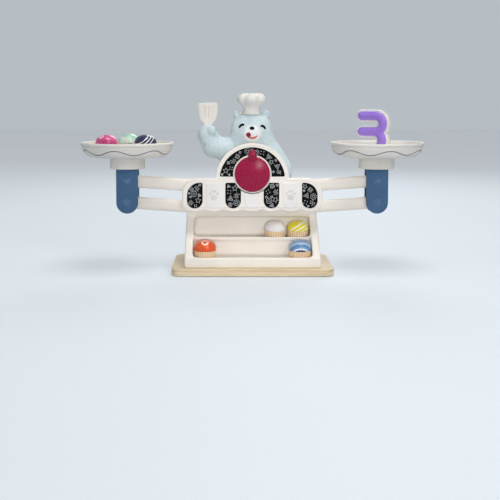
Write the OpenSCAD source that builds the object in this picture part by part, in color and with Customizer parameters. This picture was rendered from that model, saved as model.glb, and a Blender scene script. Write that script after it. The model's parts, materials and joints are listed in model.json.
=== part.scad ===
// Counting balance toy: a parallel beam scale on a small cake shop stand.
// X runs along the beams, Y runs from the front to the back, Z is up. All sizes are in millimetres.
// The beams' middle plane is Y = 0 and the feet stand on Z = 0.

/* [Base] */
// width of the base board
board_w = 189; // [175:1:210]
// depth of the base board
board_d = 100; // [94:1:108]
// thickness of the base board
board_t = 8.4; // [7:0.2:14]
// corner radius of the base board, in plan
board_corner = 11; // [4:1:20]
// radius of a foot pad
foot_r = 7; // [4:0.5:9]
// height that a foot pad stands below the board
foot_h = 0.8; // [0.5:0.1:2]
// depth of the seat that a foot pad is glued into
foot_seat = 0.8; // [0.4:0.1:1.5]

/* [Stall] */
// width over the two cheeks
stall_w = 159; // [150:1:165]
// wall thickness of the stall moulding
wall = 2.6; // [2:0.1:3]
// thickness of a cheek beside the shelves
cheek_t = 9.5; // [7:0.5:11]
// distance of the lower front face in front of the beams' middle plane
stall_front = 38; // [36:0.5:42]
// height of the lower front face above the board
front_h = 7.3; // [6.5:0.1:8]
// thickness of the lower shelf's lip
lip_t = 3.5; // [2.5:0.1:4.2]
// height of the lower shelf's floor above the board
floor_h = 4.5; // [3:0.1:5.5]
// height of the lower lip above its shelf floor
lip_h = 8.1; // [7:0.1:9]
// depth of the lower shelf
shelf_d = 30; // [29:0.1:31]
// depth of the upper shelf's floor below the lower pivot
shelf_drop = 58.5; // [57:0.1:60]
// height of the upper lip above its shelf floor
ledge_h = 8.7; // [7.5:0.1:10]
// distance the upper lip stands in front of its riser
ledge_out = 2.5; // [1.5:0.1:3]
// height of the upper shelf's back recess
recess_h = 28.5; // [27:0.5:31]
// depth of the back recess into the rear housing
recess_d = 6; // [5.6:0.1:7]
// height of the rear housing's top above the lower pivot
rear_over = 7; // [4:0.2:9]
// depth of the rear housing
rear_d = 30; // [28:0.5:32]
// thickness of the back cover
cover_t = 2; // [1.6:0.1:3]

/* [Balance] */
// height of the upper beam's centre pivot above the board
pivot_h = 107.6; // [104:0.2:112]
// height between the upper and the lower pivots
link_h = 25.8; // [24:0.2:28]
// distance from the centre pivot to an end pivot
half_span = 149; // [142:0.5:156]
// drop of the end pivots below the centre pivots
load_drop = 9.2; // [7:0.2:11]
// distance from the centre over which the upper beam rises to its hub
rise_x = 45; // [38:0.5:52]
// drop of the upper beam below its hub beside that rise
rise_dip = 12.9; // [11:0.1:13.5]
// distance from the centre over which the lower beam rises to its hub
low_rise_x = 60; // [56:0.5:64]
// drop of the lower beam below its hub beside that rise
low_rise_dip = 9.4; // [8.4:0.1:10]
// distance from the centre at which the outer arms begin
arm_x = 79; // [72:0.5:84]
// drop of a beam below its hub where the outer arms begin
arm_dip = 14.2; // [13.6:0.1:15]
// height of a beam
beam_h = 14.4; // [12:0.2:15]
// thickness of a beam
beam_t = 8; // [6:0.2:9]
// radius of a beam's centre hub
hub_r = 10; // [8:0.2:11]
// radius of the axles and the link pins
pin_r = 3; // [2.4:0.1:3.4]
// radius of a link pin's domed head
pin_head_r = 5.1; // [4.6:0.1:6]
// height of a link pin's domed head
pin_head_h = 2.2; // [1.6:0.1:3]
// width of a hanger bracket
bracket_w = 25.8; // [24:0.2:30]
// depth of a hanger bracket
bracket_d = 18; // [16:0.5:22]
// height of a hanger bracket above its upper pin
bracket_top = 14.8; // [13:0.2:17]
// thickness of a bracket's side web
bracket_web = 2.5; // [2:0.1:3]
// radius of a pan's collar
collar_r = 20.9; // [18:0.1:24]
// height of a pan's collar
collar_h = 14.2; // [12:0.2:18]

/* [Pans] */
// radius over a pan's rim
pan_r = 55.2; // [55.1:0.1:57]
// overall height of a pan
pan_h = 17.4; // [15:0.2:20]
// height of a pan's rim band
rim_h = 3.5; // [2.5:0.1:4.5]
// radius of a pan's flat foot
pan_foot_r = 41; // [40.5:0.1:43]
// thickness of a pan's wall and floor
pan_t = 1.6; // [1.4:0.1:2.4]

/* [Awning] */
// width of the awning
awning_w = 165.6; // [160:0.4:172]
// thickness of the awning
awning_t = 6; // [5:0.2:7]
// room between the awning and the beams
awning_gap = 4; // [3:0.2:5]
// height of the awning band's top edge below the upper pivot
band_drop = 4.8; // [3:0.2:6]
// height of the awning band
band_h = 40.2; // [38:0.2:42]
// corner radius at the awning band's outer top
band_corner = 18; // [10:0.5:19]
// corner radius at the awning band's outer bottom
low_corner = 9; // [5:0.5:11]
// height of a scallop from its bottom to the cusps beside it
scallop_h = 2.8; // [2.2:0.1:3.6]
// outer radius of the arch
arch_r = 43.8; // [42:0.2:46]
// drop of the arch's centre below the upper pivot
arch_drop = 7.2; // [5:0.2:9]
// width of the rim left outside the arch panel
arch_rim = 5; // [3:0.2:6]
// outer radius of the raised ring around the dial
ring_r = 22.3; // [21.9:0.1:24]
// height of the raised ring around the dial
ring_h = 1.4; // [1:0.1:1.8]
// width of an awning panel
panel_w = 18.5; // [16:0.1:19]
// thickness of an awning panel
panel_t = 0.8; // [0.5:0.1:1]
// height of an awning panel's foot above the awning's lower edge
panel_edge = 4.2; // [3.6:0.1:5]
// height of an awning panel
panel_h = 30.5; // [27:0.5:32]
// radius of the pointer dial
dial_r = 20.8; // [19:0.1:21]
// thickness of the pointer dial
dial_t = 7.4; // [6:0.2:9]
// reach of the pointer's tip from the dial's centre
pointer_reach = 30.4; // [28:0.2:33]
// width of the pointer at its foot
pointer_w = 10.3; // [8:0.1:12]

/* [Bear] */
// half thickness of the bear's body
bear_r = 14; // [12:0.2:14.6]
// half width of the bear's body
bear_half_w = 46; // [44:0.5:50]
// sideways offset of the bear's body from the middle
bear_lean = 4.2; // [0:0.1:5]
// height of the bear's widest part above the housing
bear_belly = 20; // [17:0.5:24]
// height of the bear's shoulders above the housing
bear_shoulder = 52; // [48:0.5:56]
// half width of the bear's shoulders
shoulder_half = 27; // [25:0.5:30]
// half width of the bear's cheeks
cheek_half = 26; // [24:0.5:28]
// height of the bear's cheeks above the housing
cheek_h = 65; // [62:0.5:68]
// height of the bear's crown above the housing
crown_h = 89; // [86:0.5:92]
// half width of the bear's crown
crown_half = 21; // [18:0.5:23]
// radius of an ear
ear_r = 5.3; // [4:0.1:7]
// distance of an ear from the middle
ear_x = 17.4; // [15:0.2:19]
// wall thickness of the bear's shells
bear_wall = 2.4; // [1.8:0.1:3]
// radius of the raised arm's elbow
elbow_r = 13.2; // [12:0.2:14.6]
// radius of the paw
paw_r = 12.2; // [10:0.2:13]
// distance of the paw from the middle
paw_x = 53.5; // [50:0.5:57]
// height of the paw above the housing
paw_h = 64.5; // [61:0.5:68]
// radius of the hat's puffed top
hat_r = 17; // [14:0.2:20]
// radius of the hat's puffed edge
puff_r = 7.4; // [5:0.2:8]
// height of the hat
hat_h = 26.2; // [20:0.2:28]
// radius of the hat's band
hat_band_r = 10.85; // [9:0.1:13]
// width of the spatula's blade
blade_w = 24.7; // [20:0.2:28]
// height of the spatula's blade
blade_h = 19.5; // [17:0.5:24]
// thickness of the spatula
blade_t = 4; // [3:0.1:5]
// width of the spatula's handle
handle_w = 10.7; // [8:0.1:12]
// length of the handle between the paw and the blade
handle_l = 7; // [5:0.5:12]

/* [Weights] */
// height of a cupcake's wooden cup
cup_h = 13.4; // [12:0.1:15]
// radius at the top of a cup
cup_r = 13; // [12.4:0.1:13.2]
// radius at the bottom of a cup
cup_foot_r = 11.9; // [11:0.05:12]
// height of an icing cap
icing_h = 12; // [10:0.1:12.6]
// overall height of the number weight
digit_h = 54.5; // [48:0.5:60]
// width of the number's raised stroke
stroke_w = 10.3; // [9:0.1:11]
// margin of the pale plate around the stroke
digit_margin = 2.1; // [1.5:0.1:3]
// length of the number's straight bars
digit_bar = 17.5; // [14:0.5:21]
// height of the number's middle bar above its middle
digit_waist = 1.1; // [0:0.1:2]
// thickness of the number's pale plate
plate_t = 7.4; // [5:0.1:9]
// height that the stroke stands above the plate
stroke_t = 3.8; // [3:0.1:6]

/* [Hidden] */
$fn = 72;
eps = 0.01;
// radial clearance of a running fit
run_c = 0.08;
// radial clearance of a fixed pin in its hole
fix_c = 0.04;
// gap between parts that pass each other
pass = 0.5;
// screw sizes
screw_r = 1.5;
screw_hole_r = 1.8;
screw_head_r = 3;
screw_head_h = 2;
boss_r = 4.5;
screw_grip = 8;
screw_spare = 2;
boss_inset = 0.4;
post_socket = 11;

// levels
board_top = foot_h + board_t;
floor_z = board_top + floor_h;
lip_z = floor_z + lip_h;
pivot_z = board_top + pivot_h;
low_z = pivot_z - link_h;
upper_z = low_z - shelf_drop;
ledge_z = upper_z + ledge_h;
recess_z = upper_z + recess_h;
rear_z = low_z + rear_over;
rear_h = rear_z - board_top;
end_z = pivot_z - load_drop;
end_low_z = low_z - load_drop;

// depths
tower_y = beam_t / 2 + 1;
tower_d = 13;
rear_y = tower_y + tower_d;
back_y = rear_y + rear_d;
lip_y = -stall_front + lip_t;
riser_y = lip_y + shelf_d;
ledge_y = riser_y - ledge_out;
recess_y = rear_y + recess_d;
board_y = (back_y - stall_front) / 2;
awning_back = -beam_t / 2 - awning_gap;
awning_front = awning_back - awning_t;
half_w = stall_w / 2;
pocket_x = half_w - cheek_t;
inner_x = half_w - wall;
cover_y = back_y - cover_t;

// screw places
base_boss_h = (upper_z - board_top) * 0.64;
base_boss_gap = [4, 8];
base_sink = 0.8;
base_screw_x = inner_x - boss_r + boss_inset;
base_screw_y = [riser_y + wall + boss_r + base_boss_gap[0], cover_y - boss_r - base_boss_gap[1]];
cover_boss_gap = 3;
cover_screw_x = inner_x - boss_r + boss_inset;
cover_screw_z = [board_top + rear_h * 0.383, rear_z - wall - boss_r - cover_boss_gap];
tower_screw_x = [22, 14];
tower_screw_drop = [12, 6];
tower_screws_at = [
  [tower_screw_x[0], low_z - tower_screw_drop[0]], [tower_screw_x[1], rear_z - wall - tower_screw_drop[1]]
];
foot_edge_x = 16;
foot_edge_y = 15;
foot_x = board_w / 2 - foot_edge_x;
foot_dy = board_d / 2 - foot_edge_y;
post_x = 26;
post_rise = 13.2;
post_z = pivot_z + post_rise;
post_r = 4.2;
tower_w = 62;
tower_plate = 5;
tower_corner = 9;
tower_over = 7;
tower_under = 17;
// bush and clip on the dial's shaft
bush_r = pin_r + 2;
clip_r = pin_r + 2.4;
clip_t = 0.9;
clip_room = 2.6;
clip_y = rear_y - clip_room + 0.3;
groove = 0.7;

// collars and pans
bracket_z = end_z + bracket_top;
collar_z = bracket_z + collar_h;
spigot_r = 8;
spigot_h = 7;
peg_r = 6;
peg_h = 5;
pan_floor = collar_z + pan_t;
pan_top = collar_z + pan_h;

// awning
band_top = pivot_z - band_drop;
band_low = band_top - band_h;
lobes = 7;
lobe_pitch = awning_w / (lobes + 0.305);
lobe_r = (pow(lobe_pitch / 2, 2) + pow(scallop_h, 2)) / (2 * scallop_h);
lobe_z = band_low + lobe_r;
arch_z = pivot_z - arch_drop;
panel_low = band_low + panel_edge;
panel_top = panel_low + panel_h;
dial_back = awning_front - 0.6;
dial_front = dial_back - dial_t;

// bear
bear_gap = 0.3;
bear_y = rear_y + bear_r + bear_gap;
bear_far = 4 * bear_half_w;
cheek_r = bear_r + 2;
arm_in = 13;
arm_rise = 26.4;
arm_r = 13.4;
elbow_in = 7;
elbow_rise = 29;
bear_post_r = 4;
bear_post_h = 14;
bear_post_gap = 3.4;
bear_post_in = 9.5;
bear_hat_z = rear_z + crown_h - 0.6;
paw_y = bear_y;
hat_peg_r = 5;
hat_peg_h = 6.6;
grip_r = 4;
blade_groove = 1.2;

// number weight
stroke_r = stroke_w / 2;
digit_pitch = (digit_h - 2 * digit_margin - stroke_w) / 2;
digit_bend = 2.5;
// bows: centre across, centre height and radius
digit_bows = [
  [digit_bend, (digit_pitch + digit_waist) / 2, (digit_pitch - digit_waist) / 2],
  [digit_bend - 2 * digit_waist, (digit_waist - digit_pitch) / 2, (digit_pitch + digit_waist) / 2]
];

// cupcake places: across, depth and level
pan_x = half_span;
pink_at = [-pan_x - 22, -18, pan_floor];
navy_at = [-pan_x + 23.5, -18, pan_floor];
mint_at = [-pan_x - 1, 20, pan_floor];
upper_cake_y = recess_y - cup_r - 0.4;
lower_cake_y = lip_y + cup_r + 1.4;
yellow_x = pocket_x - cup_r - 0.9;
white_at = [yellow_x - 2 * cup_r - 1.7, upper_cake_y, upper_z];
yellow_at = [yellow_x, upper_cake_y, upper_z];
orange_at = [-pocket_x + cup_r + 1.1, lower_cake_y, floor_z];
blue_at = [pocket_x - cup_r - 0.6, lower_cake_y, floor_z];
digit_at = [pan_x - 3, 0, pan_floor];
digit_yaw = -34;
// room under a loose piece
rest_c = 0.05;
// peg that joins an icing cap to its cup
cap_peg_r = 4;
cap_peg_h = 6;

// Helpers: flat shapes drawn in X-Z or Y-Z and pulled along the third axis
module xz(y0, y1) {
  translate([0, y1, 0]) rotate([90, 0, 0]) linear_extrude(y1 - y0) children();
}
module yz(x0, x1) {
  translate([x0, 0, 0]) rotate([90, 0, 90]) linear_extrude(x1 - x0) children();
}
module ycyl(r, y0, y1) {
  translate([0, y1, 0]) rotate([90, 0, 0]) cylinder(r = r, h = y1 - y0);
}
module rrect(w, h, r) {
  square([w - 2 * r, h], center = true);
  square([w, h - 2 * r], center = true);
  for (sx = [-1, 1]) for (sy = [-1, 1])
    translate([sx * (w / 2 - r), sy * (h / 2 - r)]) circle(r);
}
module sides() {
  children();
  mirror([1, 0, 0]) children();
}

// Base
module base_board() {
  color("#dcc9a2") difference() {
    translate([0, board_y, foot_h]) linear_extrude(board_t) rrect(board_w, board_d, board_corner);
    for (sx = [-1, 1]) for (sy = [-1, 1])
      translate([sx * foot_x, board_y + sy * foot_dy, foot_h - eps])
        cylinder(r = foot_r + fix_c, h = foot_seat + eps);
    sides() for (y = base_screw_y) translate([base_screw_x, y, 0]) {
      cylinder(r = screw_hole_r, h = board_top + 1);
      cylinder(r = screw_head_r + 0.4, h = foot_h + screw_head_h + base_sink);
    }
  }
}
module foot_pads() {
  color("#555555") for (sx = [-1, 1]) for (sy = [-1, 1])
    translate([sx * foot_x, board_y + sy * foot_dy, 0]) cylinder(r = foot_r, h = foot_h + foot_seat);
}
module base_screws() {
  z0 = foot_h + base_sink;
  color("silver") sides() for (y = base_screw_y) translate([base_screw_x, y, z0]) {
    cylinder(r = screw_head_r, h = screw_head_h);
    cylinder(r = screw_r, h = board_top + base_boss_h * 0.7 - z0);
  }
}

// Stall: cheeks' side outline, and the display's stepped section
module cheek_outline() {
  slope_z = board_top + front_h;
  polygon([
    [-stall_front, board_top], [-stall_front, slope_z + 0.6],
    [-stall_front + lip_t * 0.1, lip_z - 1.4], [-stall_front + lip_t * 0.45, lip_z + 0.1],
    [rear_y - 3, recess_z + 1.5], [rear_y - 0.8, recess_z + 4.5], [rear_y, recess_z + 8],
    [rear_y, rear_z], [back_y, rear_z], [back_y, board_top]
  ]);
}
module display_cut() {
  polygon([
    [-stall_front - 1, board_top + front_h], [-stall_front, board_top + front_h],
    [-stall_front + lip_t * 0.15, lip_z - 1.9], [-stall_front + lip_t * 0.5, lip_z - 0.5],
    [lip_y - lip_t * 0.1, lip_z], [lip_y, lip_z - 0.6],
    [lip_y, floor_z + 1.2], [lip_y + 1.2, floor_z],
    [riser_y - 1.2, floor_z], [riser_y, floor_z + 1.2], [riser_y, ledge_z - 5.6],
    [ledge_y, ledge_z - 4.8], [ledge_y, ledge_z - 1.2], [ledge_y + 1, ledge_z],
    [ledge_y + 2.2, ledge_z - 0.2],
    [upper_cake_y - cup_foot_r - 0.3, upper_z], [recess_y - 1.2, upper_z], [recess_y, upper_z + 1.2],
    [recess_y, recess_z - 1.2], [recess_y - 1.2, recess_z], [rear_y, recess_z + 0.8],
    [rear_y, rear_z + 1], [-stall_front - 1, rear_z + 1]
  ]);
}
module hollow_cut() {
  polygon([
    [riser_y + wall, board_top - 1], [riser_y + wall, upper_z - wall], [recess_y + wall, upper_z - wall],
    [recess_y + wall, recess_z + wall], [rear_y + wall, recess_z + wall + 1],
    [rear_y + wall, rear_z - wall], [back_y + 1, rear_z - wall], [back_y + 1, board_top - 1]
  ]);
}
module bear_screw_places() {
  sides() for (y = [bear_y - bear_r + bear_wall + bear_post_gap, bear_y + bear_r - bear_wall - bear_post_gap])
    translate([bear_half_w - bear_r - bear_post_in, y, 0]) children();
}
module stall_body() {
  color("#efe8e0") difference() {
    union() {
      difference() {
        yz(-half_w, half_w) cheek_outline();
        yz(-pocket_x, pocket_x) display_cut();
        yz(-inner_x, inner_x) hollow_cut();
      }
      sides() {
        for (y = base_screw_y) translate([base_screw_x, y, board_top]) cylinder(r = boss_r, h = base_boss_h);
        for (z = cover_screw_z) translate([cover_screw_x, 0, z])
          ycyl(boss_r, cover_y - screw_grip - 2 * screw_spare, cover_y);
      }
    }
    sides() {
      for (y = base_screw_y) translate([base_screw_x, y, board_top - 1])
        cylinder(r = screw_r + fix_c, h = 1 + base_boss_h * 0.85);
      for (z = cover_screw_z) translate([cover_screw_x, 0, z])
        ycyl(screw_r + fix_c, cover_y - screw_grip - screw_spare, cover_y + 1);
      for (p = tower_screws_at) translate([p[0], 0, p[1]]) ycyl(screw_hole_r, rear_y - 1, rear_y + wall + 1);
    }
    translate([0, 0, low_z]) ycyl(pin_r + 0.4, rear_y - 1, rear_y + wall + 1);
    translate([0, 0, rear_z - wall - 1]) bear_screw_places() cylinder(r = screw_hole_r, h = wall + 2);
  }
}
module back_cover() {
  color("#e6e0d8") difference() {
    translate([-inner_x + 0.2, cover_y, board_top + 0.2])
      cube([2 * inner_x - 0.4, cover_t, rear_h - wall - 0.4]);
    sides() for (z = cover_screw_z) translate([cover_screw_x, 0, z])
      ycyl(screw_hole_r, cover_y - 1, back_y + 1);
  }
}
module cover_screws() {
  color("silver") sides() for (z = cover_screw_z) translate([cover_screw_x, 0, z]) {
    ycyl(screw_head_r, back_y, back_y + screw_head_h);
    ycyl(screw_r, cover_y - screw_grip, back_y + screw_head_h);
  }
}

// Pivot tower: carries both axles and the awning in front of the rear housing
module tower_outline() {
  z0 = low_z - tower_under;
  z1 = post_z + tower_over;
  translate([0, (z0 + z1) / 2]) rrect(tower_w, z1 - z0, tower_corner);
}
module pivot_tower() {
  color("#e0d8cc") difference() {
    union() {
      xz(rear_y - tower_plate, rear_y) tower_outline();
      for (z = [pivot_z, low_z]) translate([0, 0, z]) ycyl(clip_r + 3.4, tower_y, rear_y);
      for (s = [-1, 1]) translate([s * post_x, 0, post_z]) ycyl(post_r, awning_back, rear_y);
    }
    translate([0, 0, pivot_z]) {
      ycyl(bush_r, tower_y - 1, rear_y + 1);
      ycyl(clip_r + 0.4, rear_y - clip_room, rear_y + 1);
    }
    translate([0, 0, low_z]) ycyl(pin_r + fix_c, tower_y - 1, rear_y + 1);
    for (s = [-1, 1]) translate([s * post_x, 0, post_z])
      ycyl(screw_r + fix_c, awning_back - 1, awning_back + post_socket);
    sides() for (p = tower_screws_at) translate([p[0], 0, p[1]])
      ycyl(screw_r + fix_c, rear_y - tower_plate - 1, rear_y + 1);
  }
}
module tower_screws() {
  color("silver") sides() for (p = tower_screws_at) translate([p[0], 0, p[1]]) {
    ycyl(screw_head_r, rear_y + wall, rear_y + wall + screw_head_h);
    ycyl(screw_r, rear_y - tower_plate + 0.2, rear_y + wall + screw_head_h);
  }
}
module bush(y0, y1) {
  difference() {
    ycyl(bush_r - fix_c, y0, y1);
    ycyl(pin_r + run_c, y0 - 1, y1 + 1);
  }
}
module shaft_bushes() {
  color("#b58c3c") translate([0, 0, pivot_z]) {
    bush(tower_y, rear_y - clip_room);
    bush(awning_front + 0.4, awning_back);
  }
}
module lower_axle() {
  color("silver") translate([0, 0, low_z]) ycyl(pin_r, awning_back - awning_t / 2, rear_y + wall);
}

// Awning
module awning_flat() {
  intersection() {
    union() {
      for (i = [0 : lobes - 1]) translate([(i - (lobes - 1) / 2) * lobe_pitch, lobe_z]) circle(lobe_r);
      translate([-awning_w / 2, lobe_z]) square([awning_w, band_top - lobe_z]);
    }
    union() {
      translate([-awning_w / 2, band_low + low_corner]) square([awning_w, band_h - low_corner - band_corner]);
      translate([-awning_w / 2 + low_corner, band_low - 1])
        square([awning_w - 2 * low_corner, band_h - band_corner + 1]);
      translate([-awning_w / 2 + band_corner, band_low]) square([awning_w - 2 * band_corner, band_h]);
      for (s = [-1, 1]) {
        translate([s * (awning_w / 2 - band_corner), band_top - band_corner]) circle(band_corner);
        translate([s * (awning_w / 2 - low_corner), band_low + low_corner]) circle(low_corner);
      }
    }
  }
  intersection() {
    translate([0, arch_z]) circle(arch_r);
    above(arch_z - 6);
  }
}
module above(z) {
  translate([-awning_w, z]) square([2 * awning_w, awning_w]);
}
module fascia() {
  color("#f1ece6") difference() {
    union() {
      xz(awning_back - awning_t, awning_back) awning_flat();
      translate([0, 0, pivot_z]) difference() {
        ycyl(ring_r, awning_front - ring_h, awning_front + 1);
        ycyl(dial_r + 0.6, awning_front - ring_h - 1, awning_front + eps);
      }
      translate([0, 0, low_z]) ycyl(pin_r + 3, awning_back - eps, -beam_t / 2 - pass);
    }
    translate([0, 0, pivot_z]) ycyl(bush_r, awning_front - 1, awning_back + 1);
    translate([0, 0, low_z]) ycyl(pin_r + fix_c, awning_back - awning_t / 2 - 0.2, 0);
    for (s = [-1, 1]) translate([s * post_x, 0, post_z]) {
      ycyl(screw_hole_r, awning_front - 1, awning_back + 1);
      ycyl(screw_head_r + 0.2, awning_front - 1, awning_front + screw_head_h);
    }
  }
}
module fascia_screws() {
  color("silver") for (s = [-1, 1]) translate([s * post_x, 0, post_z]) {
    ycyl(screw_head_r, awning_front + 0.1, awning_front + screw_head_h);
    ycyl(screw_r, awning_front + 0.1, awning_back + post_socket - screw_spare);
  }
}
module arch_panel() {
  color("#101010") xz(awning_front - panel_t, awning_front) difference() {
    intersection() {
      translate([0, arch_z]) circle(arch_r - arch_rim);
      above(band_top + 1.8);
    }
    translate([0, pivot_z]) circle(ring_r + 0.3);
  }
}
module panel_flat() {
  translate([0, panel_low + panel_w / 2]) circle(panel_w / 2);
  translate([-panel_w / 2, panel_low + panel_w / 2]) square([panel_w, panel_h - panel_w / 2 - 2]);
  translate([-panel_w / 2 + 2, panel_top - 3]) square([panel_w - 4, 3]);
  for (s = [-1, 1]) translate([s * (panel_w / 2 - 2), panel_top - 2]) circle(2);
}
module outer_panel_limit() {
  r = band_corner - 3;
  half = 3 * lobe_pitch + panel_w / 2;
  translate([-half, 0]) square([2 * half, panel_top - r]);
  translate([-half + r, 0]) square([2 * (half - r), panel_top]);
  for (s = [-1, 1]) translate([s * (half - r), panel_top - r]) circle(r);
}
module dark_panels() {
  color("#101010") xz(awning_front - panel_t, awning_front) difference() {
    intersection() {
      union() for (i = [-3, -1, 1, 3]) translate([i * lobe_pitch, 0]) panel_flat();
      outer_panel_limit();
    }
    translate([0, pivot_z]) circle(ring_r + 0.3);
  }
}
module pale_panels() {
  color("#e9eaf0") xz(awning_front - panel_t, awning_front) difference() {
    for (i = [-2, 0, 2]) translate([i * lobe_pitch, 0]) panel_flat();
    translate([0, pivot_z]) circle(ring_r + 0.3);
  }
}

// Bear: a front and a back shell, with hat and spatula
module ball(x, z, r) {
  translate([x, bear_y, z]) sphere(r, $fn = 28);
}
module torso(inset) {
  r = bear_r - inset;
  hull() {
    for (s = [-1, 1]) {
      ball(bear_lean + s * (bear_half_w - bear_r), rear_z + bear_belly, r);
      ball(bear_lean + s * (bear_half_w - bear_r), rear_z - bear_r, r);
      ball(s * (shoulder_half - bear_r), rear_z + bear_shoulder, r);
    }
  }
}
module head() {
  hull() for (s = [-1, 1]) {
    ball(s * (cheek_half - cheek_r), rear_z + cheek_h, cheek_r);
    ball(s * (crown_half - bear_r), rear_z + crown_h - bear_r, bear_r);
  }
}
module raised_arm() {
  hull() {
    ball(-bear_half_w + arm_in, rear_z + bear_belly + arm_rise, arm_r);
    ball(-paw_x + elbow_in, rear_z + bear_belly + elbow_rise, elbow_r);
  }
  hull() {
    ball(-paw_x + elbow_in, rear_z + bear_belly + elbow_rise, elbow_r);
    ball(-paw_x, rear_z + paw_h, paw_r);
  }
}
module bear_solid() {
  difference() {
    union() {
      torso(0);
      head();
      raised_arm();
      for (s = [-1, 1]) translate([s * ear_x, bear_y, rear_z + crown_h]) sphere(ear_r);
    }
    translate([-bear_far, bear_y - bear_far, rear_z - bear_far]) cube([2 * bear_far, 2 * bear_far, bear_far]);
    torso(bear_wall);
    translate([0, bear_y, bear_hat_z - hat_peg_h - 0.4]) cylinder(r = hat_peg_r + fix_c, h = 20);
    translate([0, bear_y, bear_hat_z]) cylinder(r = hat_band_r + 1, h = 20);
    translate([-paw_x, bear_y, rear_z + paw_h]) cylinder(r = grip_r + fix_c, h = 4 * paw_r);
  }
}
module bear_posts(back) {
  intersection() {
    translate([0, 0, rear_z]) bear_screw_places() cylinder(r = bear_post_r, h = bear_post_h);
    torso(0);
    bear_half(back);
  }
}
module bear_half(back) {
  translate([-bear_far, back ? bear_y : bear_y - bear_far, 0]) cube([2 * bear_far, bear_far, 2 * bear_far]);
}
module bear_shell(back) {
  difference() {
    union() {
      intersection() {
        bear_solid();
        bear_half(back);
      }
      bear_posts(back);
    }
    translate([0, 0, rear_z - 1]) bear_screw_places()
      cylinder(r = screw_r + fix_c, h = 1 + screw_grip + screw_spare);
  }
}
module bear_front() {
  color("#bfdde6") bear_shell(false);
}
module bear_back() {
  color("#b5d4de") bear_shell(true);
}
module bear_screws() {
  color("silver") translate([0, 0, rear_z - wall - screw_head_h]) bear_screw_places() {
    cylinder(r = screw_head_r, h = screw_head_h);
    cylinder(r = screw_r, h = screw_head_h + wall + screw_grip);
  }
}
module chef_hat() {
  puff_z = hat_h - puff_r;
  color("#f4f2ee") translate([0, bear_y, bear_hat_z]) {
    rotate_extrude() {
      square([hat_band_r, puff_z]);
      translate([0, puff_z - puff_r]) square([hat_r - puff_r, 2 * puff_r]);
      translate([hat_r - puff_r, puff_z]) circle(puff_r);
    }
    translate([0, 0, -hat_peg_h]) cylinder(r = hat_peg_r, h = hat_peg_h + 1);
  }
}
module spatula_flat(foot, top) {
  half = blade_w / 2;
  neck = handle_w / 2;
  wide = top - blade_h / 2;
  polygon([
    [-neck, foot], [neck, foot], [neck + 1, foot + handle_l / 3], [half - 2, wide - handle_l], [half, wide],
    [-half, wide], [-half + 2, wide - handle_l], [-neck - 1, foot + handle_l / 3]
  ]);
  translate([0, (wide + top) / 2]) rrect(blade_w, top - wide, 3.4);
  translate([-half, wide]) square([blade_w, (top - wide) / 2]);
}
module spatula() {
  paw_top = rear_z + paw_h + paw_r;
  top = paw_top + handle_l + blade_h;
  color("#f3efe6") {
    difference() {
      xz(paw_y - blade_t / 2, paw_y + blade_t / 2) translate([-paw_x, 0]) spatula_flat(paw_top + 0.1, top);
      for (i = [-1, 0, 1]) translate([-paw_x + i * blade_w / 5, 0, 0])
        xz(paw_y - blade_t, paw_y - blade_t / 2 + blade_groove)
          translate([0, top - blade_h * 0.54]) rrect(1.7, blade_h / 2, 0.8);
    }
    translate([-paw_x, paw_y, rear_z + paw_h + 0.4]) cylinder(r = grip_r, h = paw_r + 1);
  }
}

// Beams: gull-wing plates whose centre pivots stand above the end pivots
function dip_at(a, run, dip) =
  a <= run ? -dip * (1 - cos(180 * a / run)) / 2 :
  a <= arm_x ? -dip - (arm_dip - dip) * (1 - cos(180 * (a - run) / (arm_x - run))) / 2 :
  -arm_dip + (arm_dip - load_drop) * (a - arm_x) / (half_span - arm_x);
beam_xs = concat([for (i = [0 : 20]) arm_x * i / 20], [half_span]);
module beam_arm(run, dip) {
  last = len(beam_xs) - 1;
  polygon(concat(
    [for (x = beam_xs) [x, dip_at(x, run, dip) + beam_h / 2]],
    [for (i = [last : -1 : 0]) [beam_xs[i], dip_at(beam_xs[i], run, dip) - beam_h / 2]]));
}
module beam(bore_r, run, dip) {
  difference() {
    union() {
      xz(-beam_t / 2, beam_t / 2) {
        beam_arm(run, dip);
        mirror([1, 0]) beam_arm(run, dip);
      }
      ycyl(hub_r, -beam_t / 2, beam_t / 2);
      for (s = [-1, 1]) translate([s * half_span, 0, -load_drop]) ycyl(beam_h / 2, -beam_t / 2, beam_t / 2);
    }
    ycyl(bore_r, -beam_t, beam_t);
    for (s = [-1, 1]) translate([s * half_span, 0, -load_drop]) ycyl(pin_r + run_c, -beam_t, beam_t);
  }
}
module upper_beam() {
  color("#f3ead8") translate([0, 0, pivot_z]) beam(pin_r + fix_c, rise_x, rise_dip);
}
module lower_beam() {
  color("#f3ead8") translate([0, 0, low_z]) beam(pin_r + run_c, low_rise_x, low_rise_dip);
}
module dial_shaft() {
  color("silver") translate([0, 0, pivot_z]) difference() {
    ycyl(pin_r, dial_front + 2.2, rear_y - 0.4);
    difference() {
      ycyl(pin_r + 1, clip_y - 0.05, clip_y + clip_t + 0.05);
      ycyl(pin_r - groove, clip_y - 1, clip_y + 2);
    }
  }
}
module shaft_clip() {
  color("#777777") translate([0, 0, pivot_z]) difference() {
    ycyl(clip_r, clip_y, clip_y + clip_t);
    ycyl(pin_r - groove + fix_c, clip_y - 1, clip_y + 2);
    translate([-pin_r + groove, clip_y - 1, -clip_r - 1]) cube([2 * (pin_r - groove), 3, clip_r + 1]);
  }
}
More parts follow.
